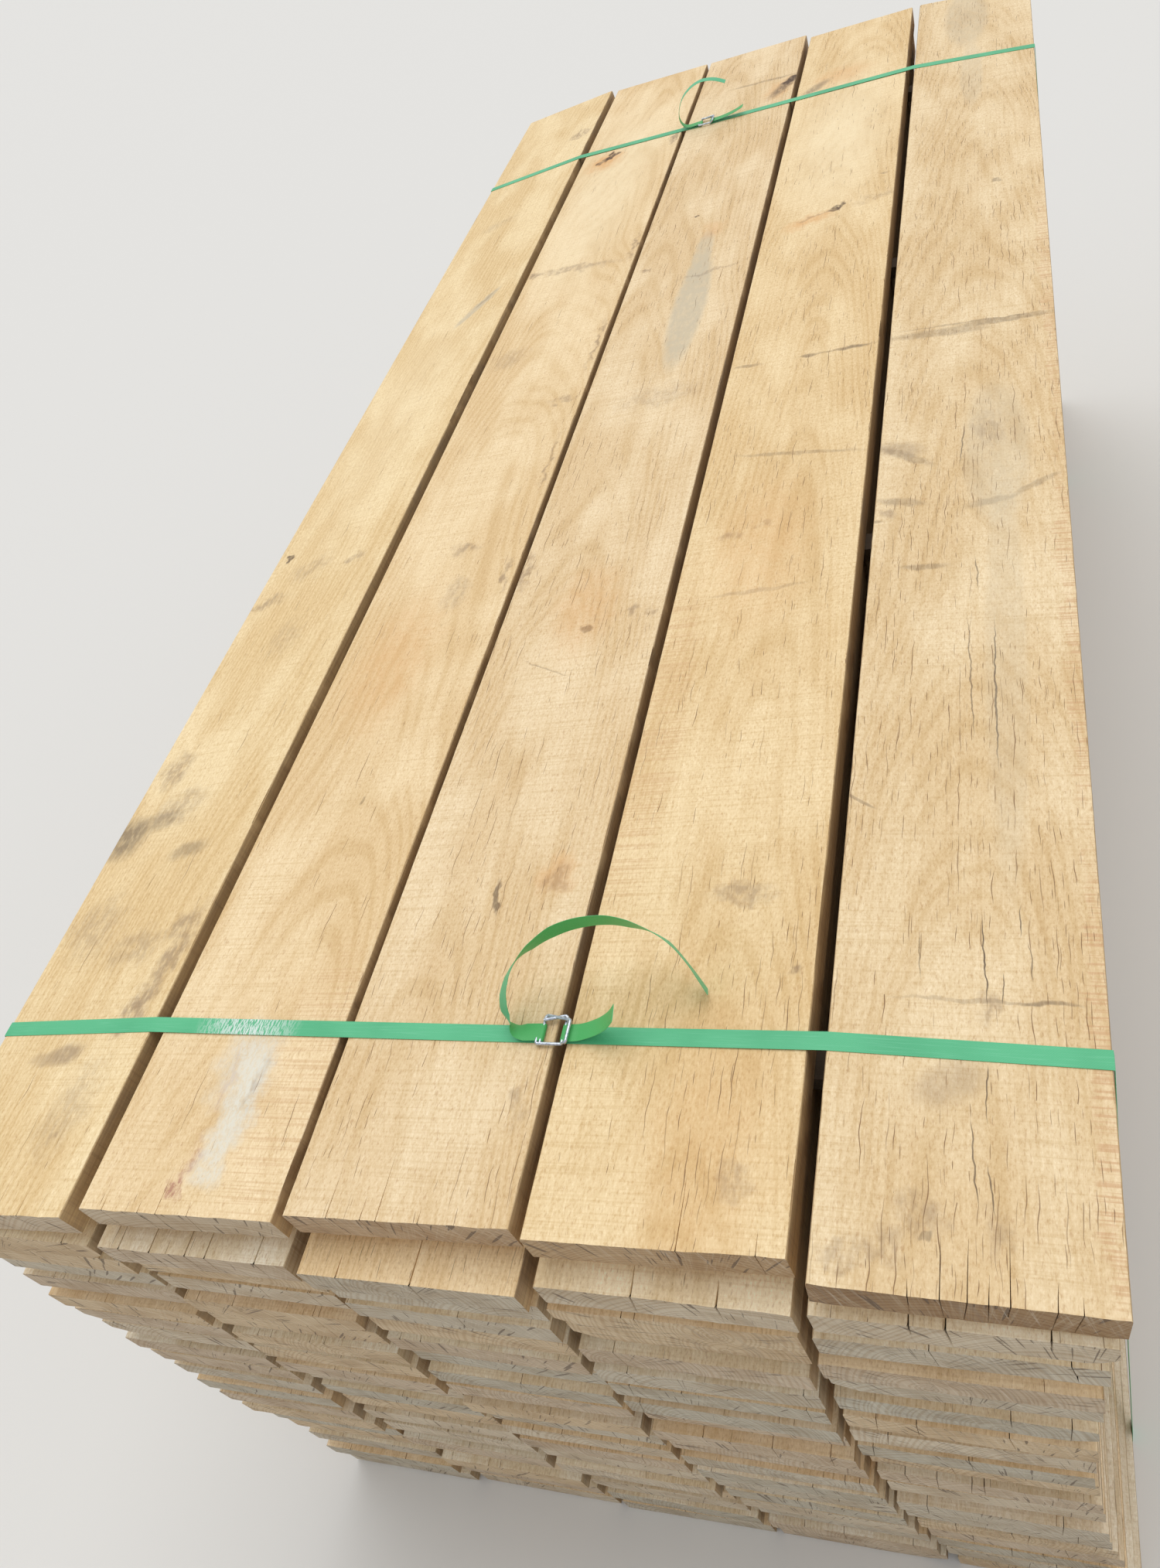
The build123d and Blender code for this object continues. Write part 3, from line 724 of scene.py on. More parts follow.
class BoardSurface:
    """One board's surface points: across from its middle, up from its base, along from its near end."""

    def __init__(self, board, cracks, lines, stations):
        self.board = board
        self.half = board["width"] / 2
        self.thick = board["thickness"]
        self.us = lines_across(self.half, lines, cracks)
        self.vs = lines_upwards(self.thick)
        self.ys = stations_along(board["length"], stations)
        order, self.faces, self.kinds = board_grid(len(self.us), len(self.vs), len(self.ys))
        self.i, self.j, self.k = order.T
        self.u, self.v, self.y = self.us[self.i], self.vs[self.j], self.ys[self.k]
        self.left = self.i == 0
        self.right = self.i == len(self.us) - 1
        self.bottom = self.j == 0
        self.top = self.j == len(self.vs) - 1
        self.near = self.k == 0
        self.far = self.k == len(self.ys) - 1
        self.painted_crack_shade = np.zeros(len(self.u))
        self.rise = np.zeros(len(self.u))

    def open_crack(self, crack):
        """A check that opens from one end of the board, with painted shade inside it."""
        line = int(np.argmin(np.abs(self.us - crack["u"])))
        centre = self.i == line
        beside = np.abs(self.i - line) == 1
        ends = self.near | self.far
        from_end = self.y if crack["end"] < 0 else self.board["length"] - self.y
        share = np.clip(1 - from_end / crack["length"], 0, 1) ** crack_taper
        wander = np.sin(self.y / crack["bend"]) * crack["sway"] * (1 - share)
        lean = (self.thick - self.v) * crack["lean"] * ends
        width = (self.us[self.i] - crack["u"]) * (crack_tip_share + (1 - crack_tip_share) * share)
        self.u = np.where(centre, self.u + wander + lean, self.u)
        self.u = np.where(beside, crack["u"] + wander + lean + width, self.u)
        self.v = np.where(centre & self.top, self.v - crack_depth * mm * share, self.v)
        open_down = np.clip(1 - (self.thick - self.vs[self.j]) / (self.thick * crack["reach"]), 0, 1)
        own_end = self.near if crack["end"] < 0 else self.far
        self.y = self.y - crack["end"] * crack_end_depth * mm * open_down * (centre & own_end)
        # Where the crack opens, on the top and at the ends, it gets painted shade
        self.painted_crack_shade = np.where(centre & self.top, np.maximum(self.painted_crack_shade, np.sqrt(share)), self.painted_crack_shade)
        self.painted_crack_shade = np.where(centre & ends, np.maximum(self.painted_crack_shade, open_down * (share > 0)), self.painted_crack_shade)

    def cut_wane(self):
        for side, (width, height) in self.board["wane"].items():
            if width > 0:
                inwards = np.clip((self.half - side * self.u) / width, 0, 1)
                self.rise = np.maximum(self.rise, height * (1 - inwards))
        self.v = self.rise + self.v / self.thick * (self.thick - self.rise)

    def wear_edges(self, chance):
        corner = (self.left | self.right) & (self.top | self.bottom)
        ragged = sum(np.abs(rough_line(chance, self.ys, run * mm, wear_size * mm)) for run in wear_runs)
        wear = arris_wear * mm + ragged[self.k]
        outwards = self.right.astype(float) - self.left.astype(float)
        upwards = self.top.astype(float) - self.bottom.astype(float)
        self.u = self.u - outwards * wear * np.where(corner, 1.0, side_wear_share)
        self.v = self.v - upwards * wear * corner * face_wear_share

    def cut_chips(self, chips, chance):
        """Chips out of the upper edges: those listed, and small ones at chance places."""
        fade = np.clip(self.v / self.thick * chip_slope - chip_end, 0, 1)
        for side, place, half_length, size in chips:
            along = (self.board["near"] + self.y - place * mm) / (half_length * mm)
            bite = size * mm * np.clip(1 - along ** 2, 0, 1)
            self.u = self.u - side * bite * (self.right if side > 0 else self.left) * fade
        for number, place in enumerate(chance.uniform(0, self.board["length"], chip_count)):
            along = (self.y - place) / (chance.uniform(*chip_half_lengths) * mm)
            bite = chip_depth * mm * np.clip(1 - along ** 2, 0, 1)
            side, edge = (1, self.right) if number % 2 else (-1, self.left)
            self.u = self.u - side * bite * edge * self.top

    def tear_ends(self, chance):
        torn = sum(np.abs(rough_line(chance, self.us, run * mm, size * mm)) for run, size in tear_runs)
        reach = np.where(self.top | self.bottom, tear_at_edge, tear_inside)
        inwards = self.near.astype(float) - self.far.astype(float)
        self.y = self.y + inwards * (end_gap * mm + torn[self.i] * reach)

    def points(self):
        base, across, up = self.board["base"], self.board["across"], self.board["up"]
        return np.stack((
            base.x + self.u * across.x + self.v * up.x,
            self.board["near"] + self.board["lean"] * self.u + self.y,
            base.y + self.u * across.y + self.v * up.y,
        ), axis=1)

    def values(self, look, chance):
        """What the materials read at each point."""
        count = len(self.u)
        wane_share = np.clip(self.rise / (wane_fade * mm), 0, 1) * (self.vs[self.j] < self.thick / 2)
        across, down, drift = look["heart"]
        same = {
            "shift": chance.uniform(-pattern_shift, pattern_shift, 3),
            "heart": np.array((across * mm, drift, down * mm)),
            "tone": np.array(linear(*look["shade"])),
            "end_tone": np.array(linear(*look["end_shade"])),
        }
        values = {name: np.tile(row, (count, 1)) for name, row in same.items()}
        values["place"] = np.stack((self.u, self.y, self.v), axis=1)
        checks = np.full(count, look["checks"])
        # The first value is the painted shade inside the end checks
        values["look"] = np.stack((self.painted_crack_shade, wane_share, checks, np.ones(count)), axis=1)
        return values


def add_board(heap, board, chance, look, cracks, chips, lines, stations):
    """One board, with worn edges, wane, chips and end checks, inside its solid."""
    surface = BoardSurface(board, cracks, lines, stations)
    for crack in cracks:
        surface.open_crack(crack)
    surface.cut_wane()
    surface.wear_edges(chance)
    surface.cut_chips(chips, chance)
    surface.tear_ends(chance)
    heap.add(surface.points(), surface.faces, surface.kinds, surface.values(look, chance))


def new_crack(u, length, end, half, chance):
    return {
        "u": u,
        "half": half * mm,
        "length": length,
        "end": end,
        "bend": chance.uniform(*crack_bends) * mm,
        "sway": chance.uniform(-crack_sway, crack_sway) * mm,
        "lean": chance.uniform(-crack_lean, crack_lean),
        "reach": chance.uniform(*crack_reaches),
    }


def board_cracks(board, layer, column, chance):
    """The end checks of a board: those listed, and chance ones at its other ends."""
    margin = board["width"] / 2 - crack_edge_margin * mm
    near_half = second_crack_half_width if layer == 2 else crack_half_width
    cracks = []
    for x, crack_length in near_cracks.get((layer, column), ()):
        u = (x * mm - board["base"].x) / board["across"].x
        cracks.append(new_crack(u, crack_length * mm, -1, near_half, chance))
    ends = (1,) if (layer, column) in near_cracks else (-1, 1)
    fewest, most = chance_cracks
    for end in ends:
        for _ in range(chance.integers(fewest, most + 1)):
            u = chance.uniform(-margin, margin)
            crack_length = chance.uniform(*chance_crack_lengths) * mm
            if all(abs(u - crack["u"]) > crack_spacing * mm for crack in cracks):
                cracks.append(new_crack(u, crack_length, end, crack_half_width, chance))
    return cracks


class Shades:
    """The node tree of one material, with short ways to add its nodes."""

    def __init__(self, name, finish):
        self.material = bpy.data.materials.new(name)
        self.material.use_nodes = True
        self.tree = self.material.node_tree
        self.shader = self.tree.nodes["Principled BSDF"]
        roughness, self.relief, self.relief_strength = finishes[finish]
        self.shader.inputs["Roughness"].default_value = roughness

    def feed(self, socket, value):
        if isinstance(value, bpy.types.NodeSocket):
            self.tree.links.new(value, socket)
        elif value is not None:
            socket.default_value = value

    def add(self, kind, *values, **settings):
        node = self.tree.nodes.new("ShaderNode" + kind)
        for name, value in settings.items():
            setattr(node, name, value)
        for socket, value in zip(node.inputs, values):
            self.feed(socket, value)
        return node

    def attribute(self, name, output="Vector"):
        return self.add("Attribute", attribute_name=name).outputs[output]

    def spot(self):
        """Places on a piece that has no values of its own."""
        return self.add("TexCoord").outputs["Object"]

    def math(self, operation, *values):
        return self.add("Math", *values, operation=operation).outputs[0]

    def times(self, first, second):
        return self.math("MULTIPLY", first, second)

    def between(self, chance, low, high):
        """A value between two limits, from one between 0 and 1."""
        return self.math("MULTIPLY_ADD", chance, high - low, low)

    def vector(self, operation, first, second=None):
        node = self.add("VectorMath", first, second, operation=operation)
        return node.outputs["Value" if operation == "LENGTH" else "Vector"]

    def parts(self, vector):
        return self.add("SeparateXYZ", vector).outputs

    def joined(self, *parts):
        return self.add("CombineXYZ", *parts).outputs[0]

    def noise(self, place, stretch, detail, roughness):
        scaled = self.vector("MULTIPLY", place, stretch) if stretch else place
        return self.add("TexNoise", scaled, None, 1.0, detail, roughness).outputs["Fac"]

    def patterns(self, place, sizes):
        return {name: self.noise(place, *size) for name, size in sizes.items()}

    def step(self, value, low, high, to_low=0.0, to_high=1.0):
        node = self.add("MapRange", value, low, high, to_low, to_high, interpolation_type="SMOOTHSTEP")
        return node.outputs["Result"]

    def mix(self, share, under, over, blend="MIX"):
        node = self.add("Mix", data_type="RGBA", blend_type=blend)
        self.feed(node.inputs[0], share)
        self.feed(node.inputs[6], under)
        self.feed(node.inputs[7], over)
        return node.outputs[2]

    def tinted(self, colour, share, tint):
        """A colour that a tint multiplies, by a share."""
        return self.mix(share, colour, tint, "MULTIPLY")

    def covered(self, colour, share, strength, shade):
        """A colour under another one, by a share times a strength."""
        return self.mix(self.times(share, strength), colour, linear(*shade))

    def layered(self, colour, patterns, layers):
        """A colour under others, each where its pattern lies between two levels."""
        for name, levels, shade in layers:
            colour = self.mix(self.step(patterns[name], *levels), colour, linear(*shade))
        return colour

    def bump(self, height):
        node = self.add("Bump")
        node.inputs["Strength"].default_value = self.relief_strength
        node.inputs["Distance"].default_value = self.relief * mm
        self.feed(node.inputs["Height"], height)
        self.feed(self.shader.inputs["Normal"], node.outputs["Normal"])

    def finish(self, colour):
        self.feed(self.shader.inputs["Base Color"], colour)
        return self.material


def wood_places(shades):
    """Places on a board, and the same shifted so that no two boards share one figure."""
    place = shades.attribute("place")
    return place, shades.vector("ADD", place, shades.attribute("shift"))


def ring_lines(shades, place, grain):
    """Growth rings round the heart of the log: a wave of their distance from it."""
    across, along, up = shades.parts(place)
    heart_across, drift, heart_up = shades.parts(shades.attribute("heart"))
    sideways = shades.math("SUBTRACT", across, heart_across)
    upwards = shades.math("SUBTRACT", up, heart_up)
    flat = shades.joined(sideways, 0.0, upwards)
    distance = shades.math("MULTIPLY_ADD", along, drift, shades.vector("LENGTH", flat))
    slow = shades.noise(grain, *ring_drift_pattern)
    distance = shades.math("MULTIPLY_ADD", slow, ring_drift * mm, distance)
    uneven_place = shades.joined(shades.times(distance, ring_uneven_scale))
    uneven = shades.noise(uneven_place, *ring_uneven_pattern)
    phase = shades.times(distance, 1 / (ring_width * mm))
    phase = shades.math("MULTIPLY_ADD", uneven, ring_unevenness, phase)
    wave = shades.math("SINE", shades.times(phase, 2 * pi))
    return distance, shades.step(wave, *ring_levels), flat


def hairlines(shades, place, bend, sizes, share):
    """Fine splits along the grain: at most one in each long cell, at a chance place in it."""
    wide, long, thin, wander = (size * mm for size in sizes)
    across, along, _ = shades.parts(place)
    across = shades.math("MULTIPLY_ADD", bend, wander, across)
    column_place = shades.times(across, 1 / wide)
    column = shades.math("FLOOR", column_place)
    offset = shades.add("TexWhiteNoise", None, column, noise_dimensions="1D").outputs["Value"]
    row_place = shades.times(along, 1 / long)
    row_place = shades.math("MULTIPLY_ADD", offset, hairline_row_offset, row_place)
    cell = shades.joined(column, shades.math("FLOOR", row_place))
    chance = shades.add("TexWhiteNoise", cell, noise_dimensions="2D")
    middle, reach, depth = shades.parts(chance.outputs["Color"])
    middle = shades.between(middle, *hairline_middles)
    reach = shades.between(reach, *hairline_reaches)
    aside = shades.math("ABSOLUTE", shades.math("SUBTRACT", shades.math("FRACT", column_place), middle))
    ahead = shades.math("ABSOLUTE", shades.math("SUBTRACT", shades.math("FRACT", row_place), 1 / 2))
    taper = shades.math("SUBTRACT", 1.0, shades.math("DIVIDE", ahead, reach))
    taper = shades.math("MAXIMUM", shades.math("SQRT", shades.math("MAXIMUM", taper, 0.0)), hairline_thinnest)
    ratio = shades.math("DIVIDE", shades.times(aside, wide / thin), taper)
    there = shades.math("LESS_THAN", chance.outputs["Value"], share)
    line = shades.times(shades.step(ratio, *hairline_levels, 1.0, 0.0), there)
    return shades.times(line, shades.between(depth, *hairline_depths))


def sawn_wood(name, own_marks):
    """Sawn board faces: pale wood with rings, streaks, flecks, saw lines and shrinkage checks."""
    shades = Shades(name, "face")
    place, grain = wood_places(shades)
    # The first part of look is the painted shade inside the open end checks
    crack, wane_share, check_share = shades.parts(shades.attribute("look"))
    patterns = shades.patterns(grain, face_patterns)
    clouds, saw = patterns["clouds"], patterns["saw"]
    _, rings, _ = ring_lines(shades, place, grain)
    colour = shades.attribute("tone", "Color")
    colour = shades.tinted(colour, 1.0, shades.mix(shades.step(clouds, *cloud_levels), *cloud_tints))
    ring_share = shades.times(rings, shades.step(clouds, *ring_in_clouds))
    colour = shades.tinted(colour, ring_share, ring_tint)
    saw_share = shades.times(shades.step(saw, *saw_levels), shades.step(clouds, *saw_in_clouds))
    colour = shades.tinted(colour, saw_share, saw_tint)
    for pattern, levels, tint in face_tints:
        colour = shades.tinted(colour, shades.step(patterns[pattern], *levels), tint)
    colour = shades.layered(colour, patterns, fleck_layers)
    if own_marks:
        colour = add_marks(shades, grain, saw, colour, own_marks)
    share = shades.times(check_share, shades.step(clouds, *checks_in_clouds))
    checks = [hairlines(shades, grain, patterns["bend"], sizes, share) for sizes in hairline_sizes]
    colour = shades.covered(colour, shades.math("MAXIMUM", *checks), *face_checks)
    # Painted shade inside the open end checks
    colour = shades.layered(colour, {"crack": crack}, crack_shade_layers)
    colour = shades.covered(colour, wane_share, *face_wane)
    height = shades.times(patterns["suede"], suede_relief)
    shades.bump(shades.math("MULTIPLY_ADD", saw, saw_relief, height))
    return shades.finish(colour)


def add_marks(shades, grain, saw, colour, own_marks):
    """Stains, knots and scuffs at their own places on the top of the pack."""
    spot = shades.spot()
    blur = shades.add("TexNoise", spot, None, *mark_wander_noise).outputs["Color"]
    aside, along = mark_wander
    wander = shades.vector("SUBTRACT", blur, (1 / 2, 1 / 2, 1 / 2))
    wander = shades.vector("MULTIPLY", wander, (aside * mm, along * mm, 0.0))
    clean_spot = shades.vector("ADD", spot, shades.vector("MULTIPLY", wander, (clean_wander,) * 3))
    spot = shades.vector("ADD", spot, wander)
    noises = shades.patterns(grain, mark_patterns)
    mottle = shades.step(noises["mottle"], *mottle_levels)
    fine = shades.step(noises["fine"], *fine_levels)
    patterns = {"kerf": shades.step(saw, *kerf_levels), "pale": fine, "rust": fine}
    for kind, x, y, half_across, half_along, turned, strength in own_marks:
        shade, softness, breaking = mark_kinds[kind]
        node = shades.add("Mapping", clean_spot if kind in clean_kinds else spot, vector_type="TEXTURE")
        node.inputs["Location"].default_value = (x * mm, y * mm, 0.0)
        node.inputs["Rotation"].default_value = (0.0, 0.0, radians(turned))
        node.inputs["Scale"].default_value = (half_across * mm, half_along * mm, 1.0)
        flat = shades.vector("MULTIPLY", node.outputs["Vector"], (1.0, 1.0, 0.0))
        share = shades.step(shades.vector("LENGTH", flat), mark_end - softness, mark_end, strength, 0.0)
        pattern = shades.between(patterns.get(kind, mottle), 1 - breaking, 1.0)
        colour = shades.mix(shades.times(share, pattern), colour, linear(*shade))
    return colour


def sawn_edge():
    """The narrow sides of the boards: browner and deeper in tone, partly their own colour and partly painted
    shade for the gaps, with coarse streaks and saw lines.
    """
    shades = Shades("sawn_edge", "edge")
    place, grain = wood_places(shades)
    _, rings, _ = ring_lines(shades, place, grain)
    _, wane_share, _ = shades.parts(shades.attribute("look"))
    patterns = shades.patterns(grain, edge_patterns)
    # Deeper sides: partly their own colour, partly painted shade
    colour = shades.tinted(shades.attribute("tone", "Color"), 1.0, linear(*edge_tone_and_shade))
    colour = shades.covered(colour, rings, *edge_rings)
    colour = shades.layered(colour, patterns, edge_layers)
    colour = shades.covered(colour, wane_share, *edge_wane)
    shades.bump(shades.math("MULTIPLY_ADD", patterns["streaks"], streak_relief, patterns["saw"]))
    return shades.finish(colour)


def sawn_end():
    """The cut ends: weathered grey-beige with ring arcs, rays, small radial splits and saw lines."""
    shades = Shades("sawn_end", "end")
    place, grain = wood_places(shades)
    distance, rings, flat = ring_lines(shades, place, grain)
    across, _, up = shades.parts(grain)
    sideways, _, upwards = shades.parts(flat)
    angle = shades.math("ARCTAN2", sideways, upwards)

    def round_heart(turns, rings_out, level):
        turned = shades.times(angle, turns)
        return shades.joined(turned, shades.times(distance, rings_out), level)

    slanted = shades.math("MULTIPLY_ADD", up, end_saw_slant, across)
    saw_across, saw_up = end_saw_scales
    saw_place = shades.vector("MULTIPLY", shades.joined(slanted, up), (saw_across, saw_up, 0.0))
    patterns = {
        "rays": shades.noise(round_heart(*ray_scales, across), *ray_pattern),
        "splits": shades.noise(round_heart(*split_scales, up), *split_pattern),
        "saw": shades.noise(saw_place, *end_saw_pattern),
        # Painted shade inside the open end checks
        "crack": shades.parts(shades.attribute("look"))[0],
    }
    cloud_share = shades.step(shades.noise(grain, *end_clouds), *end_cloud_levels)
    colour = shades.tinted(shades.attribute("end_tone", "Color"), cloud_share, linear(*end_cloud_tint))
    colour = shades.tinted(colour, shades.times(rings, end_ring_share), linear(*end_ring_tint))
    colour = shades.layered(colour, patterns, end_layers)
    splits = shades.step(patterns["splits"], *split_levels, 0.0, split_relief)
    shades.bump(shades.math("SUBTRACT", shades.math("ADD", patterns["saw"], rings), splits))
    return shades.finish(colour)


def lath_wood():
    """Thin laths, rough sawn and streaked, in a deep brown that stands for the shade between the layers:
    painted shade.
    """
    shades = Shades("lath_wood", "lath")
    patterns = shades.patterns(shades.spot(), lath_patterns)
    colour = shades.layered(linear(*lath_painted_shade), patterns, lath_layers)
    shades.bump(shades.math("ADD", patterns["streaks"], patterns["saw"]))
    return shades.finish(colour)


def strap_plastic():
    """Embossed green strap: satin, with a fine waffle, long scuffs and painted shade on its inner side."""
    shades = Shades("strap_plastic", "strap")
    place = shades.attribute("band")
    patterns = shades.patterns(place, strap_patterns)
    patterns["clouds"] = shades.noise(shades.spot(), *strap_clouds)
    colour = shades.layered(linear(*strap_colour), patterns, strap_layers)
    # A deeper green on the inner side: painted shade
    colour = shades.covered(colour, shades.attribute("inner_side", "Fac"), *strap_inner_painted_shade)
    scrape = shades.step(patterns["scrapes"], *scuff_levels)
    scuffed = shades.times(scrape, shades.attribute("scuff", "Fac"))
    colour = shades.mix(scuffed, colour, linear(*scuff_shade))
    shades.shader.inputs["Specular IOR Level"].default_value = strap_specular
    along, across, _ = shades.parts(place)
    turns = 2 * pi / (waffle_pitch * mm)
    waves = [shades.math("SINE", shades.times(way, turns)) for way in (along, across)]
    shades.bump(shades.times(*waves))
    return shades.finish(colour)


def galvanised():
    """Zinc-coated wire, bright with fine cloudy dulling."""
    shades = Shades("galvanised_wire", "zinc")
    shades.shader.inputs["Metallic"].default_value = 1.0
    clouds = shades.noise(shades.spot(), *zinc_clouds)
    shades.bump(clouds)
    return shades.finish(shades.layered(linear(*zinc_shade), {"clouds": clouds}, zinc_layers))


def turn_of(origin, first, second):
    return ((first[0] - origin[0]) * (second[1] - origin[1])
            - (first[1] - origin[1]) * (second[0] - origin[0]))


def taut_outline(points):
    """The corners that a tight strap passes round, in order."""
    ordered = sorted(set(points))
    outline = []
    for run in (ordered, ordered[::-1]):
        chain = []
        for point in run:
            while len(chain) > 1 and turn_of(chain[-2], chain[-1], point) <= 0:
                chain.pop()
            chain.append(point)
        outline += chain[:-1]
    return outline


def round_pack(corners, out):
    """The strap's middle line round the pack, anticlockwise, eased over each corner."""
    line = []
    count = len(corners)
    for number, corner in enumerate(corners):
        here = Vector(corner)
        before = (here - Vector(corners[number - 1])).normalized()
        after = (Vector(corners[(number + 1) % count]) - here).normalized()
        out_before = Vector((before.y, -before.x))
        out_after = Vector((after.y, -after.x))
        outwards = (out_before + out_after).normalized()
        line.append(here + out_before * out - before * corner_run * mm)
        line.append(here + outwards * out)
        line.append(here + out_after * out + after * corner_run * mm)
    return line


def smooth_through(points, step):
    """A smooth line through points with a turning angle each, as places with an angle."""
    spaced = []
    padded = [points[0], *points, points[-1]]
    for a, b, c, d in zip(padded, padded[1:], padded[2:], padded[3:]):
        run = (c[0] - b[0]).length
        for part in np.arange(0, 1, step / max(run, step)):
            t, t2, t3 = part, part ** 2, part ** 3
            place = ((b[0] * 2) + (c[0] - a[0]) * t + (a[0] * 2 - b[0] * 5 + c[0] * 4 - d[0]) * t2
                     + (b[0] * 3 - a[0] - c[0] * 3 + d[0]) * t3) / 2
            spaced.append((place, b[1] + (c[1] - b[1]) * t))
    spaced.append(points[-1])
    return spaced


def tail_path(points, y, top_z):
    places = [(Vector((x * mm, y + dy * mm, top_z + z * mm)), angle) for x, dy, z, angle in points]
    return smooth_through(places, tail_step * mm)


def fold_round(bar_x, bar_z, side, y, radius):
    """The strap's middle line round one buckle bar, from under it to over it."""
    return [(Vector((bar_x - side * sin(angle) * radius, y, bar_z - cos(angle) * radius)), 0.0)
            for angle in np.linspace(0, pi, fold_points)]


def divided(points, step):
    line = []
    for here, following in zip(points, points[1:]):
        parts = max(1, round((following - here).length / step))
        line += [here.lerp(following, part / parts) for part in range(parts)]
    return line + [points[-1]]


def band_section(half, thick):
    """The outline of a flat band with thinner edges, as places across and out from its middle."""
    lines = np.linspace(-1, 1, strap_lines_across)
    upper = [(side * half, thick * (strap_edge_share if abs(side) == 1 else 1.0)) for side in lines]
    return upper + [(across, -out) for across, out in upper[::-1]]


def band_faces(stations):
    """The faces of a flat band whose sections follow each other, with its two ends."""
    columns = strap_lines_across
    ring = 2 * columns
    faces = []
    for number in range(stations - 1):
        for order in range(ring):
            here, ahead = number * ring, (number + 1) * ring
            following = (order + 1) % ring
            faces.append((here + order, here + following, ahead + following, ahead + order))
    for here, turned in ((0, True), ((stations - 1) * ring, False)):
        for order in range(columns - 1):
            corner = [here + order, here + order + 1, here + ring - 2 - order, here + ring - 1 - order]
            faces.append(corner[::-1] if turned else corner)
    return faces


def strap_mesh(name, path, edge_on, scuffed):
    """A flat band along a path, given as places with a turning angle about the path."""
    section = band_section(edge_on / 2, strap_thickness * mm / 2)
    points, bands, inner, scuffs = [], [], [], []
    travelled = 0.0
    for number, (place, angle) in enumerate(path):
        ahead = path[min(number + 1, len(path) - 1)][0]
        behind = path[max(number - 1, 0)][0]
        direction = (ahead - behind).normalized()
        width = Vector((0, 1, 0)) - direction * direction.y
        width.normalize()
        width = Quaternion(direction, radians(angle)) @ width
        normal = direction.cross(width).normalized()
        travelled += (place - behind).length
        shares = [1 - min(1, abs(place.x - x * mm) / (half * mm)) for x, half in scuffed]
        scuff = max(shares, default=0.0) ** scuff_fade if place.z > cad_high.z * scuffed_height else 0.0
        for order, (across, out) in enumerate(section):
            points.append(tuple(place + width * across + normal * out))
            bands.append((travelled, across, 0.0))
            # Marks the inner side, which gets painted shade
            inner.append((1.0 if order >= strap_lines_across else 0.0,))
            scuffs.append((scuff,))
    mesh = bpy.data.meshes.new(name)
    mesh.from_pydata(points, [], band_faces(len(path)))
    for value_name, rows in (("band", bands), ("inner_side", inner), ("scuff", scuffs)):
        add_values(mesh, value_name, np.array(rows))
    return smooth_piece(name, mesh, strap_smooth_angle)


def add_strap(node, buckle, corners, long_tail, short_tail, top_z, scuffed):
    """One strap: short tail, fold, all round the pack, fold and long tail."""
    low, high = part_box(node)
    y = (low.y + high.y) / 2
    wire = wire_diameter * mm / 2
    out = (strap_clearance + strap_thickness / 2) * mm
    radius = wire + (wire_clearance + strap_thickness / 2) * mm
    right_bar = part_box(buckle)[1].x - wire - outer_side_step * mm
    left_bar = right_bar - (buckle_opening + wire_diameter) * mm
    bar_z = top_z + out + radius
    loop = round_pack(corners, out)[::-1]
    start = min((number for number, point in enumerate(loop)
                 if point.y > top_z - corner_zone * mm and point.x > right_bar),
                key=lambda number: loop[number].x)
    under_right, under_left = (Vector((bar, top_z + out)) for bar in (right_bar, left_bar))
    round_line = [under_right, *loop[start:], *loop[:start], under_left]
    band = [Vector((point.x, y, point.y)) for point in round_line]
    path = tail_path(short_tail[::-1], y, top_z)
    path += fold_round(right_bar, bar_z, 1, y, radius)[::-1]
    path += [(place, 0.0) for place in divided(band, band_step * mm)]
    path += fold_round(left_bar, bar_z, -1, y, radius)
    path += tail_path(long_tail, y, top_z)
    return strap_mesh(node + "_band", path, high.y - low.y, scuffed)


def show(piece, slot, *nodes):
    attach(piece, "root")
    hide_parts(*nodes)


def make_boards():
    """All boards: the top ones as pieces of their own, and each lower layer as one."""
    face = sawn_wood("sawn_face", ())
    edge = sawn_edge()
    end = sawn_end()
    chance = np.random.default_rng(seed)
    corners = []
    layers = sorted(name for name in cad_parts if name.startswith("layer_"))
    for layer, node in enumerate(layers, 1):
        heap = Heap()
        for place, board in enumerate(read_boards(node)):
            column = place + 1
            corners += board["corners"]
            chips = [chip[2:] for chip in edge_chips if chip[:2] == (layer, column)]
            cracks = board_cracks(board, layer, column, chance)
            look = {
                "heart": [chance.uniform(*span) for span in lower_hearts],
                "shade": lower_shades[chance.integers(len(lower_shades))],
                "end_shade": end_shades[chance.integers(len(end_shades))],
                "checks": chance.uniform(*lower_check_shares),
            }
            # The second layer's colours are lightened against the shade under the top boards: painted light
            if layer == 2:
                look["shade"] = second_lightened_shades[place]
            if layer > 1:
                add_board(heap, board, chance, look, cracks, chips, lower_lines_across, lower_stations)
                continue
            look = {
                "heart": top_hearts[place],
                "shade": top_shades[place],
                "end_shade": top_end_shades[place],
                "checks": check_shares[place],
            }
            reach = board["width"] / 2 + board_reach * mm
            own_marks = [mark for mark in marks if abs(mark[1] * mm - board["base"].x) < reach]
            top_face = sawn_wood(f"sawn_top_face_{column}", own_marks)
            own = Heap()
            add_board(own, board, chance, look, cracks, chips, top_lines_across, top_stations)
            show(own.piece(f"top_board_{column}", (top_face, edge, end)), "sawn_board", node)
        if layer > 1:
            show(heap.piece(f"boards_{layer:02d}", (face, edge, end)), "sawn_board", node)
    return corners


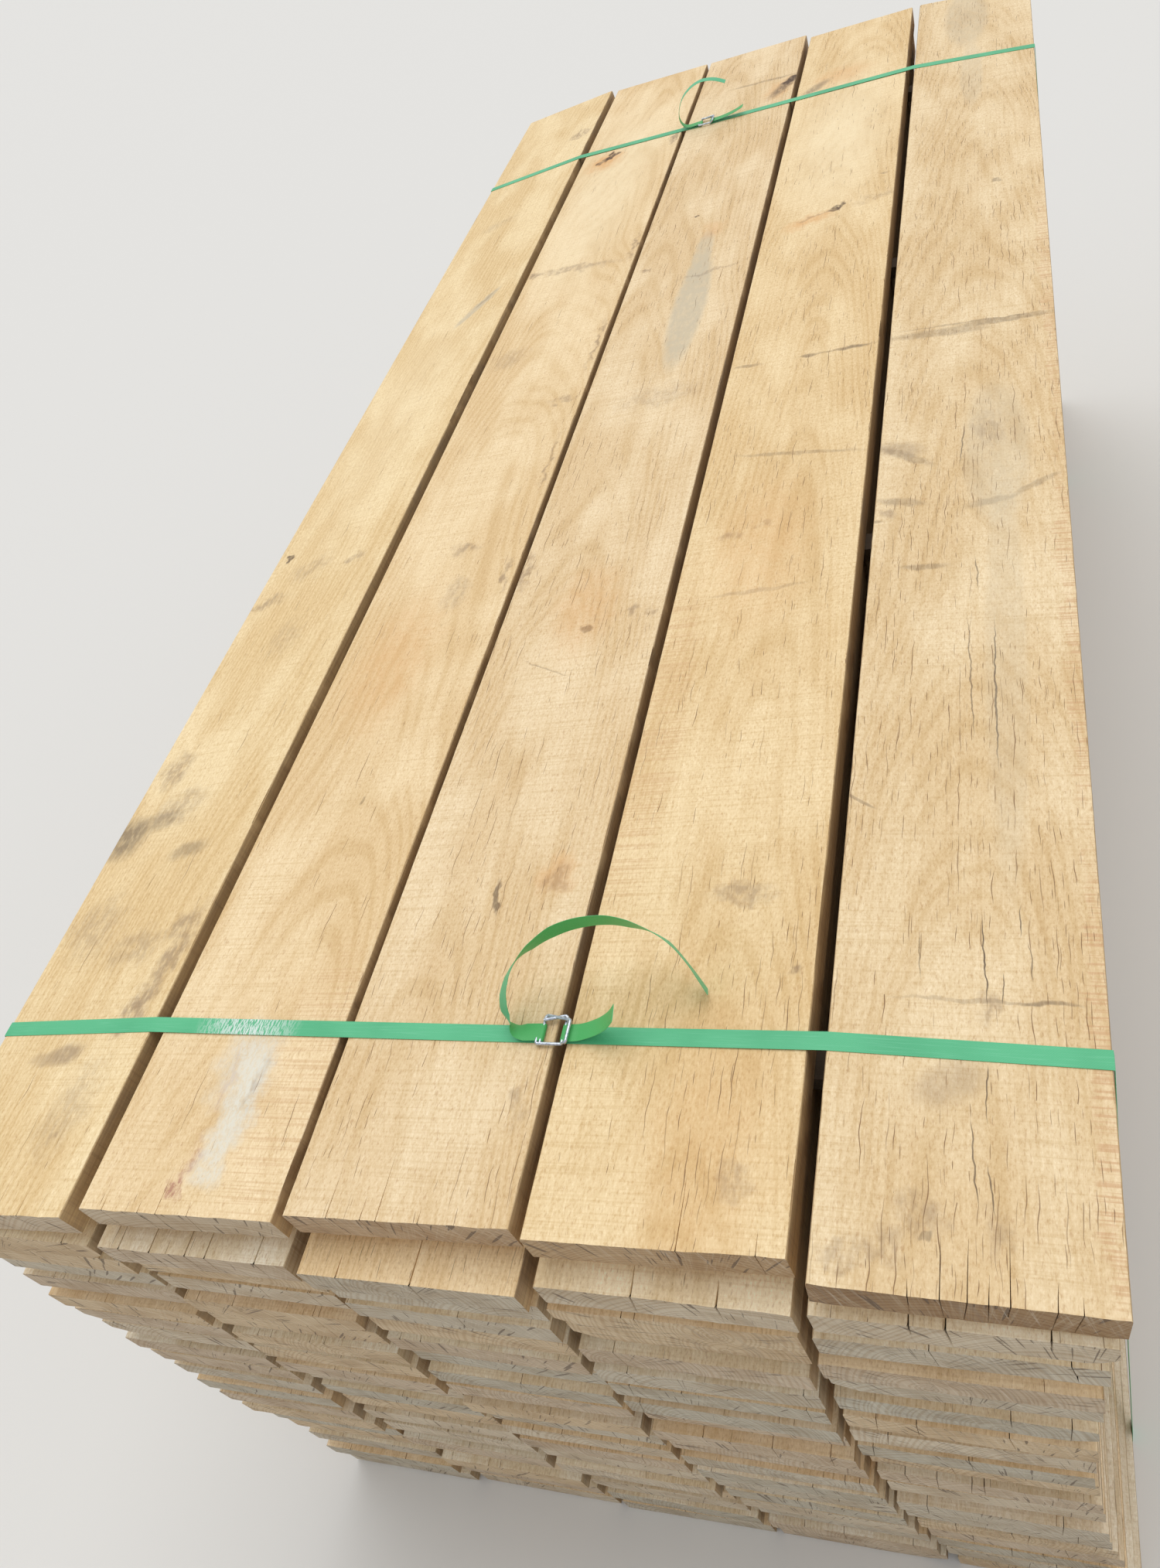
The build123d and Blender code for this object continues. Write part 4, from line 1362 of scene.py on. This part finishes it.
def make_straps(corners):
    plastic = strap_plastic()
    outline = taut_outline([(round(x, rounding_digits), round(z, rounding_digits)) for x, z in corners])
    inner_top = max(z for x, z in corners if abs(x) < middle_zone * mm)
    for node, buckle, long_tail, short_tail, scuffed in (
        ("strap_near", "buckle_near", near_long_tail, near_short_tail, near_scuffs),
        ("strap_far", "buckle_far", far_long_tail, far_short_tail, ()),
    ):
        band = add_strap(node, buckle, outline, long_tail, short_tail, inner_top, scuffed)
        band.data.materials.append(plastic)
        show(band, "strap", node)


def dress_kept_nodes():
    """Laths and buckles keep their own shapes and get a finish."""
    wood = lath_wood()
    zinc = galvanised()
    for name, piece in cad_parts.items():
        if name.startswith(("laths_", "buckle_")):
            piece.data.materials.clear()
            piece.data.materials.append(wood if name.startswith("laths_") else zinc)
    for name in ("buckle_near", "buckle_far"):
        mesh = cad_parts[name].data
        mesh.polygons.foreach_set("use_smooth", np.ones(len(mesh.polygons), bool))


def make_floor():
    mesh = bpy.data.meshes.new("floor")
    half = floor_size / 2
    corners = [(-half, -half, 0), (half, -half, 0), (half, half, 0), (-half, half, 0)]
    mesh.from_pydata(corners, [], [(0, 1, 2, 3)])
    mesh.materials.append(Shades("floor_paint", "floor").finish(linear(*floor_shade)))
    link("floor", mesh)


def make_light():
    world = bpy.data.worlds.new("studio")
    world.use_nodes = True
    background = world.node_tree.nodes["Background"]
    background.inputs["Color"].default_value = linear(*sky_shade)
    background.inputs["Strength"].default_value = sky_light
    bpy.context.scene.world = world
    lamp = bpy.data.lights.new("soft_sun", "SUN")
    lamp.energy = sun_power
    lamp.angle = radians(sun_spread)
    sun = link("soft_sun", lamp)
    sun.rotation_mode = "QUATERNION"
    sun.rotation_quaternion = Vector(sun_direction).to_track_quat("-Z", "Y")


def make_camera():
    yaw, pitch, roll = radians(camera_yaw), radians(camera_pitch), radians(camera_roll)
    forward = Vector((sin(yaw) * cos(pitch), cos(yaw) * cos(pitch), -sin(pitch)))
    level = Vector((cos(yaw), -sin(yaw), 0.0))
    up = level.cross(forward)
    right = cos(roll) * level + sin(roll) * up
    top = -sin(roll) * level + cos(roll) * up
    data = bpy.data.cameras.new("camera")
    data.sensor_width = sensor_size
    data.lens = camera_focal / photo_height * sensor_size
    camera = link("camera", data)
    camera.matrix_world = Matrix.Translation(Vector(camera_place) * mm) @ Matrix(
        (right, top, -forward)).transposed().to_4x4()
    bpy.context.scene.camera = camera


bpy.context.scene.view_settings.view_transform = "Standard"
make_camera()
make_light()
make_floor()
make_straps(make_boards())
dress_kept_nodes()
